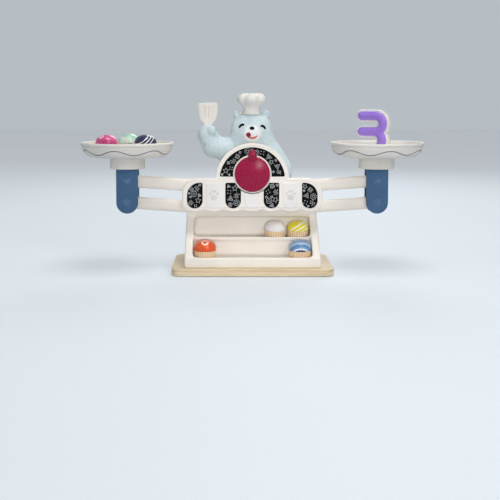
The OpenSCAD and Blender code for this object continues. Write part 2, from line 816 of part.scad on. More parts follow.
module pointer_dial() {
  nub_back = awning_front - ring_h - pass;
  color("#b0124e") translate([0, 0, pivot_z]) difference() {
    union() {
      ycyl(dial_r, dial_front + 1.6, dial_back);
      translate([0, dial_front + 1.6, 0]) rotate([90, 0, 0])
        cylinder(r1 = dial_r, r2 = dial_r - 1.6, h = 1.6);
      xz(dial_front + 1.6, nub_back) {
        translate([-pointer_w / 2, 0]) square([pointer_w, pointer_reach - pointer_w / 2]);
        translate([0, pointer_reach - pointer_w / 2]) circle(pointer_w / 2);
      }
    }
    ycyl(pin_r + fix_c, dial_front + 2, dial_back + 1);
  }
}

// Hangers: bracket, link pins, collar and pan, drawn for the right side and mirrored for the left
module bracket() {
  inner = bracket_w / 2;
  color("#466b93") difference() {
    union() {
      xz(-bracket_d / 2, bracket_d / 2) {
        translate([half_span, end_low_z]) circle(inner);
        translate([half_span - inner, end_low_z]) square([bracket_w, bracket_z - end_low_z]);
      }
      translate([half_span, 0, bracket_z - 1]) cylinder(r = spigot_r, h = spigot_h + 1);
    }
    xz(-beam_t / 2 - pass, beam_t / 2 + pass) {
      translate([half_span, end_low_z]) circle(inner - bracket_web);
      translate([half_span - inner - 1, end_low_z - inner - 1])
        square([inner + 1, end_z + bracket_top - 3.2 - end_low_z + inner + 1]);
      translate([half_span - 1, end_low_z])
        square([inner - bracket_web + 1, end_z + bracket_top - 3.2 - end_low_z]);
    }
    for (z = [end_z, end_low_z]) translate([half_span, 0, z]) ycyl(pin_r + fix_c, -bracket_d, bracket_d);
  }
}
module link_pins() {
  color("#3f638a") for (z = [end_z, end_low_z]) translate([half_span, 0, z]) {
    ycyl(pin_r, -bracket_d / 2 - 0.5, bracket_d / 2 + 0.5);
    translate([0, -bracket_d / 2, 0]) rotate([90, 0, 0])
      cylinder(r1 = pin_head_r, r2 = pin_head_r - 1.6, h = pin_head_h);
    ycyl(pin_head_r - 0.8, bracket_d / 2, bracket_d / 2 + 1.4);
  }
}
module collar() {
  color("#f1ece6") translate([half_span, 0, bracket_z]) difference() {
    cylinder(r = collar_r, h = collar_h);
    translate([0, 0, -1]) cylinder(r = spigot_r + fix_c, h = spigot_h + 1.2);
    translate([0, 0, collar_h - peg_h - 0.3]) cylinder(r = peg_r + fix_c, h = peg_h + 1.3);
  }
}
module pan_section() {
  bowl = pan_h - rim_h;
  difference() {
    union() {
      square([pan_foot_r, bowl]);
      polygon([for (i = [0 : 12]) let (a = 7.5 * i)
        [pan_foot_r + (pan_r - 1.5 - pan_foot_r) * sin(a), bowl * (1 - cos(a))], [pan_foot_r, bowl]]);
      translate([0, bowl - eps]) square([pan_r, rim_h + eps]);
    }
    polygon(concat(
      [[0, pan_t]],
      [for (i = [0 : 12]) let (a = 7.5 * i)
        [pan_foot_r + (pan_r - 1.5 - pan_t - pan_foot_r) * sin(a), pan_t + (bowl - pan_t) * (1 - cos(a))]],
      [[pan_r - 1.5 - pan_t, pan_h + 1], [0, pan_h + 1]]));
  }
}
module pan() {
  color("#f4f0ea") translate([half_span, 0, collar_z]) {
    rotate_extrude() pan_section();
    translate([0, 0, -peg_h]) cylinder(r = peg_r, h = peg_h + pan_t / 2);
  }
}
module left() {
  mirror([1, 0, 0]) children();
}
module left_bracket() {
  left() bracket();
}
module left_pins() {
  left() link_pins();
}
module left_collar() {
  left() collar();
}
module left_pan() {
  left() pan();
}
module right_bracket() {
  bracket();
}
module right_pins() {
  link_pins();
}
module right_collar() {
  collar();
}
module right_pan() {
  pan();
}

// Cupcake weights: a wooden cup with a painted cap pegged into it
module cup(at) {
  color("#e3c49e") translate(at + [0, 0, rest_c]) difference() {
    cylinder(r1 = cup_foot_r, r2 = cup_r, h = cup_h);
    translate([0, 0, cup_h - cap_peg_h - 0.3]) cylinder(r = cap_peg_r + fix_c, h = cap_peg_h + 1);
  }
}
module icing(at, tint) {
  cap_r = (pow(cup_r, 2) + pow(icing_h, 2)) / (2 * icing_h);
  color(tint) translate(at + [0, 0, rest_c + cup_h]) {
    difference() {
      translate([0, 0, icing_h - cap_r]) sphere(cap_r);
      translate([0, 0, -cap_r]) cube([4 * cap_r, 4 * cap_r, 2 * cap_r], center = true);
    }
    translate([0, 0, -cap_peg_h]) cylinder(r = cap_peg_r, h = cap_peg_h + 1);
  }
}
module pink_cup() {
  cup(pink_at);
}
module pink_icing() {
  icing(pink_at, "#e2468f");
}
module mint_cup() {
  cup(mint_at);
}
module mint_icing() {
  icing(mint_at, "#a9dec4");
}
module navy_cup() {
  cup(navy_at);
}
module navy_icing() {
  icing(navy_at, "#141c4a");
}
module white_cup() {
  cup(white_at);
}
module white_icing() {
  icing(white_at, "#f6f3ee");
}
module yellow_cup() {
  cup(yellow_at);
}
module yellow_icing() {
  icing(yellow_at, "#f2e32b");
}
module orange_cup() {
  cup(orange_at);
}
module orange_icing() {
  icing(orange_at, "#e4561b");
}
module blue_cup() {
  cup(blue_at);
}
module blue_icing() {
  icing(blue_at, "#6e9ccb");
}

// Number weight: three round-ended bars joined by two bows on the right
module digit_flat(r) {
  for (z = [-digit_pitch, digit_waist, digit_pitch]) {
    translate([-digit_bar + digit_bend, z - r]) square([digit_bar - 2 * digit_waist, 2 * r]);
    translate([-digit_bar + digit_bend, z]) circle(r);
  }
  for (z = [digit_waist, digit_pitch]) translate([0, z - r]) square([digit_bend, 2 * r]);
  for (bow = digit_bows) intersection() {
    translate([bow[0], bow[1]]) difference() {
      circle(bow[2] + r);
      circle(bow[2] - r);
    }
    translate([bow[0] - eps, -digit_h]) square([2 * digit_h, 2 * digit_h]);
  }
}
module digit_place() {
  translate(digit_at + [0, 0, rest_c + digit_h / 2]) rotate([0, 0, digit_yaw]) children();
}
module digit_plate() {
  color("#f3efe9") digit_place() xz(-plate_t / 2 + 1, plate_t / 2 + 1) digit_flat(stroke_r + digit_margin);
}
module digit_stroke() {
  color("#9b77d9") digit_place() xz(-plate_t / 2 + 1 - stroke_t, -plate_t / 2 + 1) digit_flat(stroke_r);
}

base_board();
foot_pads();
base_screws();
stall_body();
back_cover();
cover_screws();
pivot_tower();
tower_screws();
shaft_bushes();
lower_axle();
fascia();
arch_panel();
dark_panels();
pale_panels();
fascia_screws();
bear_front();
bear_back();
bear_screws();
chef_hat();
spatula();
upper_beam();
dial_shaft();
shaft_clip();
pointer_dial();
lower_beam();
left_bracket();
left_pins();
left_collar();
left_pan();
right_bracket();
right_pins();
right_collar();
right_pan();
pink_cup();
pink_icing();
mint_cup();
mint_icing();
navy_cup();
navy_icing();
digit_plate();
digit_stroke();
white_cup();
white_icing();
yellow_cup();
yellow_icing();
orange_cup();
orange_icing();
blue_cup();
blue_icing();
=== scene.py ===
import json
import random
from math import asin, atan2, cos, degrees, dist, hypot, pi, radians, sin, sqrt

import bmesh
import bpy
import numpy as np
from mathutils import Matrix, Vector
from mathutils.bvhtree import BVHTree


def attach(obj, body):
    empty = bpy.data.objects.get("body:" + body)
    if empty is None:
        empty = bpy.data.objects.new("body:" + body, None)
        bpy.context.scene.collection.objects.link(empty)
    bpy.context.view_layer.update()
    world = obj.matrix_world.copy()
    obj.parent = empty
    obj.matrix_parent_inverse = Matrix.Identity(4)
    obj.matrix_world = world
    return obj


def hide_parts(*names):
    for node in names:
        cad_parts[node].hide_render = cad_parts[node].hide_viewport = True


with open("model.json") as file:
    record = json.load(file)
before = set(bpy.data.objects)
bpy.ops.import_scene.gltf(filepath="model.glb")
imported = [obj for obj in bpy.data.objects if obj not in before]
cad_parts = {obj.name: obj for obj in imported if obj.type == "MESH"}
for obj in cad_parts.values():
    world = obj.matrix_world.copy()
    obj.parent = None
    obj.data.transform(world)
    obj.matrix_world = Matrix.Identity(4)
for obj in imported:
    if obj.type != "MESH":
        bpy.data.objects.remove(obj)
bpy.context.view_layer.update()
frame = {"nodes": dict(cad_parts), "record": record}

# Lengths are in millimetres, in the CAD model's own frame; lamps and camera are in metres.
MM = 0.001
TAU = 2 * pi
HALF_SPAN = 149.0
PIVOT_Z, LOW_Z = 116.8, 91.0
END_Z, END_LOW_Z = 107.6, 81.8
BRACKET_TOP, COLLAR_TOP, PAN_FLOOR = 122.4, 136.6, 138.2
AWNING_FRONT, AWNING_BACK = -14.0, -8.0
HOUSING_TOP = 98.0
BEAR_Y = 32.3
FLUTES = 26


# Colours and procedural materials

def linear(rgb, gain=1.0):
    """sRGB bytes as linear values, times a gain."""
    shares = [c / 255 for c in rgb]
    values = [c / 12.92 if c <= 0.04045 else ((c + 0.055) / 1.055) ** 2.4 for c in shares]
    return tuple(min(1.0, c * gain) for c in values)


class Nodes:
    """Short ways to add nodes to a tree."""

    def __init__(self, tree):
        self.tree = tree

    def put(self, value, socket):
        if isinstance(value, bpy.types.NodeSocket):
            self.tree.links.new(value, socket)
        elif socket.type == "RGBA":
            socket.default_value = (*value, 1.0)
        else:
            socket.default_value = value

    def node(self, kind, inputs, **values):
        made = self.tree.nodes.new(kind)
        for key, value in values.items():
            setattr(made, key, value)
        for key, value in inputs.items():
            self.put(value, made.inputs[key])
        return made

    def math(self, operation, a, b=0.0):
        return self.node("ShaderNodeMath", {0: a, 1: b}, operation=operation).outputs[0]

    def mix(self, factor, a, b):
        return self.node("ShaderNodeMix", {0: factor, 6: a, 7: b}, data_type="RGBA").outputs[2]

    def rays(self):
        return self.node("ShaderNodeLightPath", {}).outputs


class Look(Nodes):
    """A material around one Principled shader, drawn in object coordinates."""

    def __init__(self, name, rgb, gain=1.0, **sockets):
        self.colour = linear(rgb, gain)
        self.material = bpy.data.materials.new(name)
        self.material.use_nodes = True
        super().__init__(self.material.node_tree)
        self.tree.nodes.clear()
        inputs = {key.replace("_", " "): value for key, value in sockets.items()}
        self.shader = self.node("ShaderNodeBsdfPrincipled", inputs)
        self.node("ShaderNodeOutputMaterial", {0: self.shader.outputs[0]})
        self.place = self.node("ShaderNodeTexCoord", {}).outputs["Object"]

    def paint(self, mask, rgb, gain=1.0):
        """Lays a colour over what is there."""
        self.colour = self.mix(mask, self.colour, linear(rgb, gain))

    def vector(self, operation, other):
        return self.node("ShaderNodeVectorMath", {0: self.place, 1: other}, operation=operation).outputs

    def stretched(self, scale):
        return self.vector("MULTIPLY", scale)[0]

    def far(self, point):
        """Millimetres from a point."""
        metres = self.vector("DISTANCE", [c * MM for c in point])["Value"]
        return self.math("MULTIPLY", metres, 1 / MM)

    def around(self):
        """X, Y and the angle about the vertical axis."""
        x, y, _ = self.node("ShaderNodeSeparateXYZ", {0: self.place}).outputs
        return x, y, self.math("ARCTAN2", y, x)

    def noise(self, scale, detail=2.0, at=None):
        inputs = {"Vector": at or self.place, "Scale": scale, "Detail": detail}
        return self.node("ShaderNodeTexNoise", inputs).outputs[0]

    def specks(self, scale, size, high):
        """Small round specks, with 0 between them."""
        made = self.node("ShaderNodeTexVoronoi", {"Vector": self.place, "Scale": scale})
        return self.ease(made.outputs["Distance"], size, size * 0.7, high)

    def ease(self, value, start, end, high=1.0, low=0.0):
        inputs = dict(enumerate((value, start, end, low, high)))
        return self.node("ShaderNodeMapRange", inputs, interpolation_type="SMOOTHSTEP").outputs[0]

    def band(self, value, start, end, soft=0.25):
        """1 between start and end."""
        rise = self.ease(value, start - soft, start + soft)
        return self.math("MULTIPLY", rise, self.ease(value, end + soft, end - soft))

    def close(self, rough, grain, strength, depth=0.1):
        """Sets the colour, a roughness that varies a little, and a bump of that depth."""
        varied = self.ease(grain, 0.25, 0.75, rough + 0.05, rough - 0.05)
        inputs = {"Strength": strength, "Distance": depth * MM, "Height": grain}
        bump = self.node("ShaderNodeBump", inputs).outputs[0]
        for name, value in (("Base Color", self.colour), ("Roughness", varied), ("Normal", bump)):
            self.put(value, self.shader.inputs[name])
        return self.material


def plastic(name, rgb, rough, strength=0.12, vary=0.03, sockets=()):
    look = Look(name, rgb, 1 - vary, **dict(sockets))
    look.paint(look.ease(look.noise(22, 3), 0.3, 0.7), rgb, 1 + vary)
    return look.close(rough, look.noise(900, 2), strength)


def metal(name, dark, light, rough):
    """Takes its two colours as linear values."""
    look = Look(name, WHITE, Metallic=1.0)
    streak = look.noise(60, 3, look.stretched((1, 14, 14)))
    look.colour = look.mix(look.ease(streak, 0.3, 0.7), dark, light)
    return look.close(rough, streak, 0.08)


def board_wood():
    look, deep = Look("board_wood", (234, 215, 182), Coat_Weight=0.1, Coat_Roughness=0.3), (211, 187, 149)
    grain = look.noise(70, 5, look.stretched((0.35, 3.0, 3.0)))
    fine = look.noise(420, 3, look.stretched((0.15, 3.0, 3.0)))
    look.paint(look.ease(grain, 0.42, 0.7, 0.6), deep)
    look.paint(look.ease(fine, 0.52, 0.72, 0.35), deep, 0.86)
    return look.close(0.45, fine, 0.25)


def cup_wood():
    look, deep = Look("cup_wood", (246, 221, 186)), (214, 173, 130)
    wave = look.math("SINE", look.math("MULTIPLY", look.around()[2], float(FLUTES)))
    grain = look.noise(300, 4, look.stretched((3.0, 3.0, 0.4)))
    look.paint(look.ease(grain, 0.35, 0.7, 0.4), deep, 1.1)
    look.paint(look.ease(wave, -0.35, -0.95, 0.8), deep)
    return look.close(0.5, grain, 0.25)


def speckled_bear():
    look = Look("bear_blue", (201, 221, 228), Sheen_Weight=0.15, Sheen_Roughness=0.5)
    fine = look.noise(700, 3)
    look.paint(look.ease(fine, 0.46, 0.62, 0.85), (230, 239, 242))
    look.paint(look.ease(look.noise(26, 2), 0.35, 0.7, 0.3), (194, 216, 223))
    # A near-white patch on the muzzle around the nose: painted highlight
    muzzle_highlight = look.far((0.6, BEAR_Y - 17, 163.5))
    look.paint(look.ease(muzzle_highlight, 12.8, 8.0, 0.95), (248, 249, 250))
    return look.close(0.55, fine, 0.35, 0.15)


# Painted caps: each pattern is painted over the cap's colour, in the cap's own coordinates

WHITE = (250, 248, 246)


def icing(name, rgb, pattern):
    look = Look("icing_" + name, rgb, 0.94, Coat_Weight=0.4, Coat_Roughness=0.12)
    look.paint(look.ease(look.noise(60, 3), 0.3, 0.7), rgb, 1.05)
    pattern(look)
    return look.close(0.3, look.noise(500, 2), 0.06)


def swirl(look, pitch):
    """A spiral around the cap's top: -1 to 1."""
    x, y, turn = look.around()
    out = look.math("SQRT", look.math("ADD", look.math("POWER", x, 2.0), look.math("POWER", y, 2.0)))
    return look.math("SINE", look.math("SUBTRACT", turn, look.math("MULTIPLY", out, TAU / (pitch * MM))))


def pink_pattern(look):
    out = look.far((-4.6, -6.6, 9.0))
    look.paint(look.band(out, 1.7, 3.0), WHITE)
    curl = look.ease(swirl(look, 8.5), 0.6, 0.85, 0.7)
    look.paint(look.math("MULTIPLY", curl, look.ease(out, 4.4, 5.4)), (176, 40, 104))
    look.paint(look.specks(330, 0.22, 0.6), (240, 170, 202))


def mint_pattern(look):
    look.paint(look.ease(swirl(look, 8.5), 0.1, 0.7, 0.75), (226, 245, 234))
    look.paint(look.specks(300, 0.2, 0.7), WHITE)


def white_pattern(look):
    look.paint(look.ease(swirl(look, 9.0), 0.2, 0.9, 0.4), (232, 228, 238))


def arcs(centre, starts, width):
    """White bands around a point."""
    def pattern(look):
        out = look.far(centre)
        for start in starts:
            look.paint(look.band(out, start, start + width, 0.2), WHITE)
    return pattern


def orange_pattern(look):
    out = look.far((0.3, -6.8, 9.6))
    look.paint(look.band(out, 2.7, 4.4), (252, 226, 198))
    look.paint(look.ease(out, 2.3, 1.6), (196, 62, 16))
    look.paint(look.band(look.far((0.3, 2.0, 12.6)), 7.2, 8.0), (246, 150, 92))


def blue_pattern(look):
    out = look.far((0.0, -12.5, -10.0))
    look.paint(look.ease(out, 12.4, 11.8), (30, 48, 96))
    look.paint(look.band(out, 12.8, 14.2), WHITE)
    look.paint(look.band(out, 16.8, 17.6), (40, 66, 116))
    look.paint(look.band(out, 20.0, 20.8), (226, 236, 246))


# Plastics: sRGB colour and roughness, then bump strength, colour variation and other sockets where set
PLASTICS = {
    "foot_rubber": ((60, 60, 60), 0.8, 0.4),
    "stall_white": ((241, 235, 227), 0.42),
    "awning_white": ((244, 238, 232), 0.38),
    "cover_grey": ((226, 220, 212), 0.55, 0.3),
    "tower_cream": ((228, 219, 204), 0.5, 0.25),
    "panel_pale": ((240, 237, 236), 0.36),
    # Grey for the paw pads: painted shade standing in for the shading of their relief
    "paw_shade_grey": ((222, 218, 218), 0.45),
    "print_grey": ((190, 190, 193), 0.4),
    # Grey for the tube in the pans' groove: painted shadow under the wave's edge
    "groove_shadow_grey": ((136, 128, 140), 0.5),
    "smile_red": ((222, 78, 58), 0.4),
    "beam_cream": ((243, 236, 227), 0.42),
    "bracket_blue": ((66, 103, 142), 0.38, 0.15, 0.05),
    "collar_white": ((240, 234, 228), 0.42),
    "pan_white": ((244, 240, 234), 0.38),
    "hat_white": ((244, 241, 236), 0.55, 0.3),
    "spatula_white": ((245, 241, 234), 0.42),
    "digit_pale": ((248, 245, 243), 0.4),
    "panel_black": ((11, 11, 12), 0.42, 0.05, 0.2, dict(Specular_IOR_Level=0.1)),
    "dial_crimson": ((154, 8, 62), 0.28, 0.02, 0.04, dict(Specular_IOR_Level=0.45)),
    # Rivet heads: the bracket's blue made lighter as painted highlight, with a real glossy coat
    "rivet_highlight_blue": ((74, 113, 153), 0.3, 0.03, 0.04, dict(Coat_Weight=0.5, Coat_Roughness=0.16)),
    "digit_purple": ((168, 129, 236), 0.3, 0.1, 0.04, dict(Coat_Weight=0.25, Coat_Roughness=0.15)),
}
ICINGS = {
    "pink": ((228, 90, 154), pink_pattern),
    "mint": ((169, 222, 196), mint_pattern),
    "navy": ((20, 28, 76), arcs((-16.0, -14.0, 26.0), (25.6, 29.0, 32.4), 0.95)),
    "white": ((246, 243, 240), white_pattern),
    "yellow": ((240, 224, 44), arcs((9.0, -4.0, -14.0), (17.0, 20.6, 24.0), 1.1)),
    "orange": ((228, 86, 30), orange_pattern),
    "blue": ((110, 156, 203), blue_pattern),
}
LOOKS = {
    "board_wood": board_wood(),
    "cup_wood": cup_wood(),
    "bear_blue": speckled_bear(),
    "zinc_steel": metal("zinc_steel", (0.558, 0.558, 0.576), (0.651, 0.651, 0.672), 0.35),
    "brass_bush": metal("brass_bush", (0.648, 0.477, 0.216), (0.756, 0.5565, 0.252), 0.32),
}
LOOKS.update({name: plastic(name, *values) for name, values in PLASTICS.items()})
LOOKS.update({"icing_" + name: icing(name, *values) for name, values in ICINGS.items()})
for part in frame["record"]["subparts"]:
    for holder in frame["nodes"][part["node"]].material_slots:
        holder.material = LOOKS[part["material_slot"]]


# Objects and pieces

def placed(name, data):
    made = bpy.data.objects.new(name, data)
    bpy.context.scene.collection.objects.link(made)
    return made


def mesh_object(name, verts, faces):
    mesh = bpy.data.meshes.new(name)
    mesh.from_pydata([[float(c) * MM for c in v] for v in verts], [], [list(map(int, f)) for f in faces])
    work = bmesh.new()
    work.from_mesh(mesh)
    bmesh.ops.remove_doubles(work, verts=work.verts, dist=1e-7)
    bmesh.ops.recalc_face_normals(work, faces=work.faces)
    work.to_mesh(mesh)
    work.free()
    return placed(name, mesh)


def finished(made, body, slot, *nodes, at=(0, 0, 0), sharp=38, even=False, look=None):
    """Makes a mesh object a piece of the part."""
    mesh = made.data
    mesh.polygons.foreach_set("use_smooth", [True] * len(mesh.polygons))
    mesh.set_sharp_from_angle(angle=radians(sharp))
    mesh.materials.clear()
    mesh.materials.append(LOOKS[look or slot])
    if even:
        made.modifiers.new("even", "WEIGHTED_NORMAL").keep_sharp = True
    made.location = [c * MM for c in at]
    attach(made, body)
    if nodes:
        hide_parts(*nodes)


def piece(name, mesh, *values, **options):
    """Makes vertices and faces a piece of the part."""
    finished(mesh_object(name, *mesh), *values, **options)


def cut(made, tool):
    step = made.modifiers.new("cut", "BOOLEAN")
    step.operation, step.solver, step.object = "DIFFERENCE", "EXACT", tool
    graph = bpy.context.evaluated_depsgraph_get()
    mesh = bpy.data.meshes.new_from_object(made.evaluated_get(graph))
    made.modifiers.clear()
    made.data = mesh
    bpy.data.objects.remove(tool)


# Mesh builders: each gives vertices in millimetres and faces

def turns(count):
    return [TAU * k / count for k in range(count)]


def circle(x, z, radius, count):
    return [(x + radius * cos(a), z + radius * sin(a)) for a in turns(count)]


def skin(loops, filled=False, closed=False):
    """Faces between loops of points, where a loop may be one point; fills the ends or joins them."""
    verts, rows, faces = [], [], []
    for loop in loops:
        rows.append(range(len(verts), len(verts) + len(loop)))
        verts += loop
    if filled:
        faces += [rows[0], rows[-1]]
    if closed:
        rows.append(rows[0])
    for a, b in zip(rows, rows[1:]):
        count = max(len(a), len(b))
        for k in range(count):
            n = (k + 1) % count
            corners = a[k % len(a)], a[n % len(a)], b[n % len(b)], b[k % len(b)]
            faces.append(list(dict.fromkeys(corners)))
    return verts, faces


def lathe(rings, count=96):
    """Turns a profile: each ring is (radius, height), or a function of the angle that gives both."""
    loops = []
    for ring in rings:
        if not callable(ring) and ring[0] == 0:
            loops.append([(0, 0, ring[1])])
            continue
        loop = []
        for turn in turns(count):
            r, z = ring(turn) if callable(ring) else ring
            loop.append((r * cos(turn), r * sin(turn), z))
        loops.append(loop)
    return skin(loops)


def faced_front(mesh, at):
    """A lathed shape turned so that its axis points to the viewer, with its foot at that place."""
    verts, faces = mesh
    return [(x + at[0], at[1] - z, y + at[2]) for x, y, z in verts], faces


def moved(mesh, by):
    return [tuple(np.add(v, by)) for v in mesh[0]], mesh[1]


def joined(*meshes):
    verts, faces = [], []
    for v, f in meshes:
        faces += [[i + len(verts) for i in face] for face in f]
        verts += list(v)
    return verts, faces


def inset(outline, by):
    p = np.array(outline, float)
    edge = np.roll(p, -1, 0) - p
    edge /= np.linalg.norm(edge, axis=1)[:, None]
    inward = np.stack([-edge[:, 1], edge[:, 0]], 1)
    middle = inward + np.roll(inward, 1, 0)
    middle /= np.linalg.norm(middle, axis=1)[:, None]
    share = (middle * inward).sum(1).clip(0.4, 1)
    return p + middle * (by / share)[:, None]


def slab(outline, front, back, round_front, round_back, steps=4, deep=1.0):
    """An outline in X-Z, counter-clockwise seen from the front, pulled along Y with rounded edges."""
    quarter = []
    for turn in np.linspace(0, pi / 2, steps + 1):
        quarter.append((1 - sin(turn), deep * (1 - cos(turn))))
    rows = [(round_front * by, front + round_front * y) for by, y in quarter]
    rows += [(round_back * by, back - round_back * y) for by, y in quarter[::-1]]
    return skin([[(x, y, z) for x, z in inset(outline, by)] for by, y in rows], filled=True)


def arc(centre, radius, start, end, count):
    """Points on an arc, angles in degrees."""
    angles = np.radians(np.linspace(start, end, count))
    return [(centre[0] + radius * cos(t), centre[1] + radius * sin(t)) for t in angles]


def round_box(width, height, radius, count):
    x, z, points = width / 2 - radius, height / 2 - radius, []
    for sx, sz, start in ((1, -1, -90), (1, 1, 0), (-1, 1, 90), (-1, -1, 180)):
        points += arc((sx * x, sz * z), radius, start, start + 90, count)
    return points


def mirrored(points):
    """The same outline on the other side, in the other order."""
    return [(-x, z) for x, z in points[::-1]]


def spline(points, count=8):
    """A smooth line through points."""
    p = np.array(points, float)
    p = np.vstack([2 * p[0] - p[1], p, 2 * p[-1] - p[-2]])
    out = []
    for a, b, c, d in zip(p, p[1:], p[2:], p[3:]):
        for t in np.linspace(0, 1, count, endpoint=False):
            out.append(0.5 * (2 * b + (c - a) * t + (2 * a - 5 * b + 4 * c - d) * t * t
                              + (3 * b - 3 * c + d - a) * t ** 3))
    return np.array(out + [p[-2]])


def surface_nets(field, low, high, step):
    """The closed surface where a field of (x, y, z) is zero."""
    low, nudge = np.array(low, float), 0.05
    count = np.ceil((np.array(high) - low) / step).astype(int) + 1
    grid = np.meshgrid(*[low[d] + step * np.arange(count[d]) for d in range(3)], indexing="ij")
    value = field(*grid)
    inside = value < 0
    cells = tuple(count - 1)
    total, hits = np.zeros(cells + (3,)), np.zeros(cells)

    def corner(c):
        return value[tuple(slice(c[d], cells[d] + c[d]) for d in range(3))]

    for a in np.ndindex(2, 2, 2):
        for axis in range(3):
            if a[axis]:
                continue
            b = tuple(1 if d == axis else a[d] for d in range(3))
            va, vb = corner(a), corner(b)
            hit = (va < 0) != (vb < 0)
            total += hit[..., None] * np.array(a)
            total[..., axis] += np.where(hit, va / np.where(hit, va - vb, 1), 0)
            hits += hit
    mixed = hits > 0
    index = np.full(cells, -1)
    index[mixed] = np.arange(mixed.sum())
    verts = low + step * (np.argwhere(mixed) + total[mixed] / hits[mixed][:, None])
    faces = []
    for axis, (u, w) in enumerate(((1, 2), (2, 0), (0, 1))):
        first = [slice(0, -1) if d == axis else slice(1, -1) for d in range(3)]
        second = [slice(1, None) if d == axis else slice(1, -1) for d in range(3)]
        starts, ends = inside[tuple(first)], inside[tuple(second)]
        spots = np.argwhere(starts != ends)
        outward = starts[tuple(spots.T)]
        spots[:, [u, w]] += 1
        quad = []
        for du, dw in ((-1, -1), (0, -1), (0, 0), (-1, 0)):
            at = spots.copy()
            at[:, u] += du
            at[:, w] += dw
            quad.append(index[tuple(at.T)])
        quad = np.stack(quad, 1)
        quad[~outward] = quad[~outward][:, ::-1]
        faces += quad.tolist()
    for _ in range(4):
        here, slope = field(*verts.T), np.zeros_like(verts)
        for d in range(3):
            near = verts.copy()
            near[:, d] += nudge
            slope[:, d] = (field(*near.T) - here) / nudge
        size = (slope ** 2).sum(1).clip(0.05)
        verts -= np.clip(here / size, -step / 2, step / 2)[:, None] * slope
    return verts, faces


def blend_of(a, b, soft):
    h = np.clip(0.5 + 0.5 * (b - a) / soft, 0, 1)
    return b * (1 - h) + a * h - soft * h * (1 - h)


def carved(a, b, soft):
    return -blend_of(-a, b, soft)


def capsule(x, y, z, start, end, r_start, r_end):
    line = np.subtract(end, start)
    gap = [c - s for c, s in zip((x, y, z), start)]
    t = np.clip(sum(g * d for g, d in zip(gap, line)) / (line @ line), 0, 1)
    return np.sqrt(sum((g - t * d) ** 2 for g, d in zip(gap, line))) - (r_start + t * (r_end - r_start))


def ellipsoid(x, y, z, centre, radii, power=2.0):
    q = sum(np.abs((c - m) / r) ** power for c, m, r in zip((x, y, z), centre, radii))
    return (q ** (1 / power) - 1) * min(radii)


# Base board: a rounded plate with a fine groove below its top edge

BOARD_W, BOARD_D, BOARD_CORNER, BOARD_Y = 189.0, 100.0, 11.0, 5.0
BOARD_LOW, BOARD_TOP = 0.8, 9.2
# Inset and height, from the underside and from the top
BOARD_FOOT = [(1.2, 0), (0.4, 0.35), (0, 1.1)]
BOARD_EDGE = [(0, -3.5), (0.15, -3.3), (0.9, -3.0), (1.0, -2.4), (0.9, -1.9), (0.15, -1.65), (0, -1.45),
              (0, -0.8), (0.25, -0.25), (0.8, 0)]
# X, the Y of front and back, radius and top: the seats of the foot pads and of the screws
BOARD_SEATS = [(78.5, (-30.0, 40.0), 7.04, 1.6), (72.8, (6.6, 33.5), 3.4, 3.6)]


def base_board():
    plan = round_box(BOARD_W, BOARD_D, BOARD_CORNER, 10)
    rows = [(by, BOARD_LOW + up) for by, up in BOARD_FOOT]
    rows += [(by, BOARD_TOP + up) for by, up in BOARD_EDGE]
    loops = [[(x, y + BOARD_Y, z) for x, y in inset(plan, by)] for by, z in rows]
    made = mesh_object("base_plate", *skin(loops, filled=True))
    for side in (-1, 1):
        for x, ys, r, top in BOARD_SEATS:
            for y in ys:
                plug = lathe([(0, -1), (r, -1), (r, top), (0, top)], 32)
                cut(made, mesh_object("plug", *moved(plug, (side * x, y, 0))))
    finished(made, "stand", "board_wood", "base_board", even=True)


base_board()


# Stall: one soft-edged moulding with two display pockets, as outlines in Y-Z

STALL_SIDE = [(-38, 9.2), (48, 9.2), (48, 98), (18, 98), (18, 68), (17, 65), (15, 62.5), (-36.2, 22.1),
              (-37.6, 20.4), (-38, 17)]
STALL_POCKET = [(-60, 21.8), (-34.5, 21.8), (-34.5, 13.7), (-4.5, 13.7), (-4.5, 35.8), (-7, 36.4), (-7, 41.2),
                (-4.9, 41.2), (-1.6, 32.5), (24, 32.5), (24, 61), (18, 61.6), (18, 140), (-60, 140)]
STALL_HALF, POCKET_HALF = 79.5, 70.0
SIDE_SOFT, POCKET_SOFT, SIDE_BLEND, POCKET_BLEND, LIP_BLEND = 0.9, 1.1, 2.6, 6.0, 1.6
COVER_Y, COVER_HALF, COVER_TOP = 45.8, 76.9, 95.4
STALL_MESH = 1.2


def soft_section(outline, soft):
    """A field of (y, z): the distance from an outline, negative inside, with its corners rounded."""
    step, low, size, reach = 0.5, np.array([-70.0, -2.0]), (260, 300), 8
    y, z = np.meshgrid(*[low[d] + step * np.arange(size[d]) for d in range(2)], indexing="ij")
    gap, inside = np.full(size, 1e9), np.zeros(size, bool)
    for (ay, az), (by, bz) in zip(outline, outline[1:] + outline[:1]):
        t = ((y - ay) * (by - ay) + (z - az) * (bz - az)) / ((by - ay) ** 2 + (bz - az) ** 2)
        t = np.clip(t, 0, 1)
        gap = np.minimum(gap, np.hypot(y - ay - t * (by - ay), z - az - t * (bz - az)))
        if az != bz:
            inside ^= ((az > z) != (bz > z)) & (y < ay + (z - az) / (bz - az) * (by - ay))
    weight = np.exp(-0.5 * (np.arange(-reach, reach + 1) * step / soft) ** 2)
    weight /= weight.sum()

    def blurred(row):
        return np.convolve(np.pad(row, reach, "edge"), weight, "valid")

    flat = np.where(inside, -gap, gap)
    for axis in (0, 1):
        flat = np.apply_along_axis(blurred, axis, flat)

    def field(y, z):
        u = np.clip((y - low[0]) / step, 0, size[0] - 1.001)
        w = np.clip((z - low[1]) / step, 0, size[1] - 1.001)
        i, k = u.astype(int), w.astype(int)
        u, w = u - i, w - k
        return ((flat[i, k] * (1 - u) + flat[i + 1, k] * u) * (1 - w)
                + (flat[i, k + 1] * (1 - u) + flat[i + 1, k + 1] * u) * w)
    return field


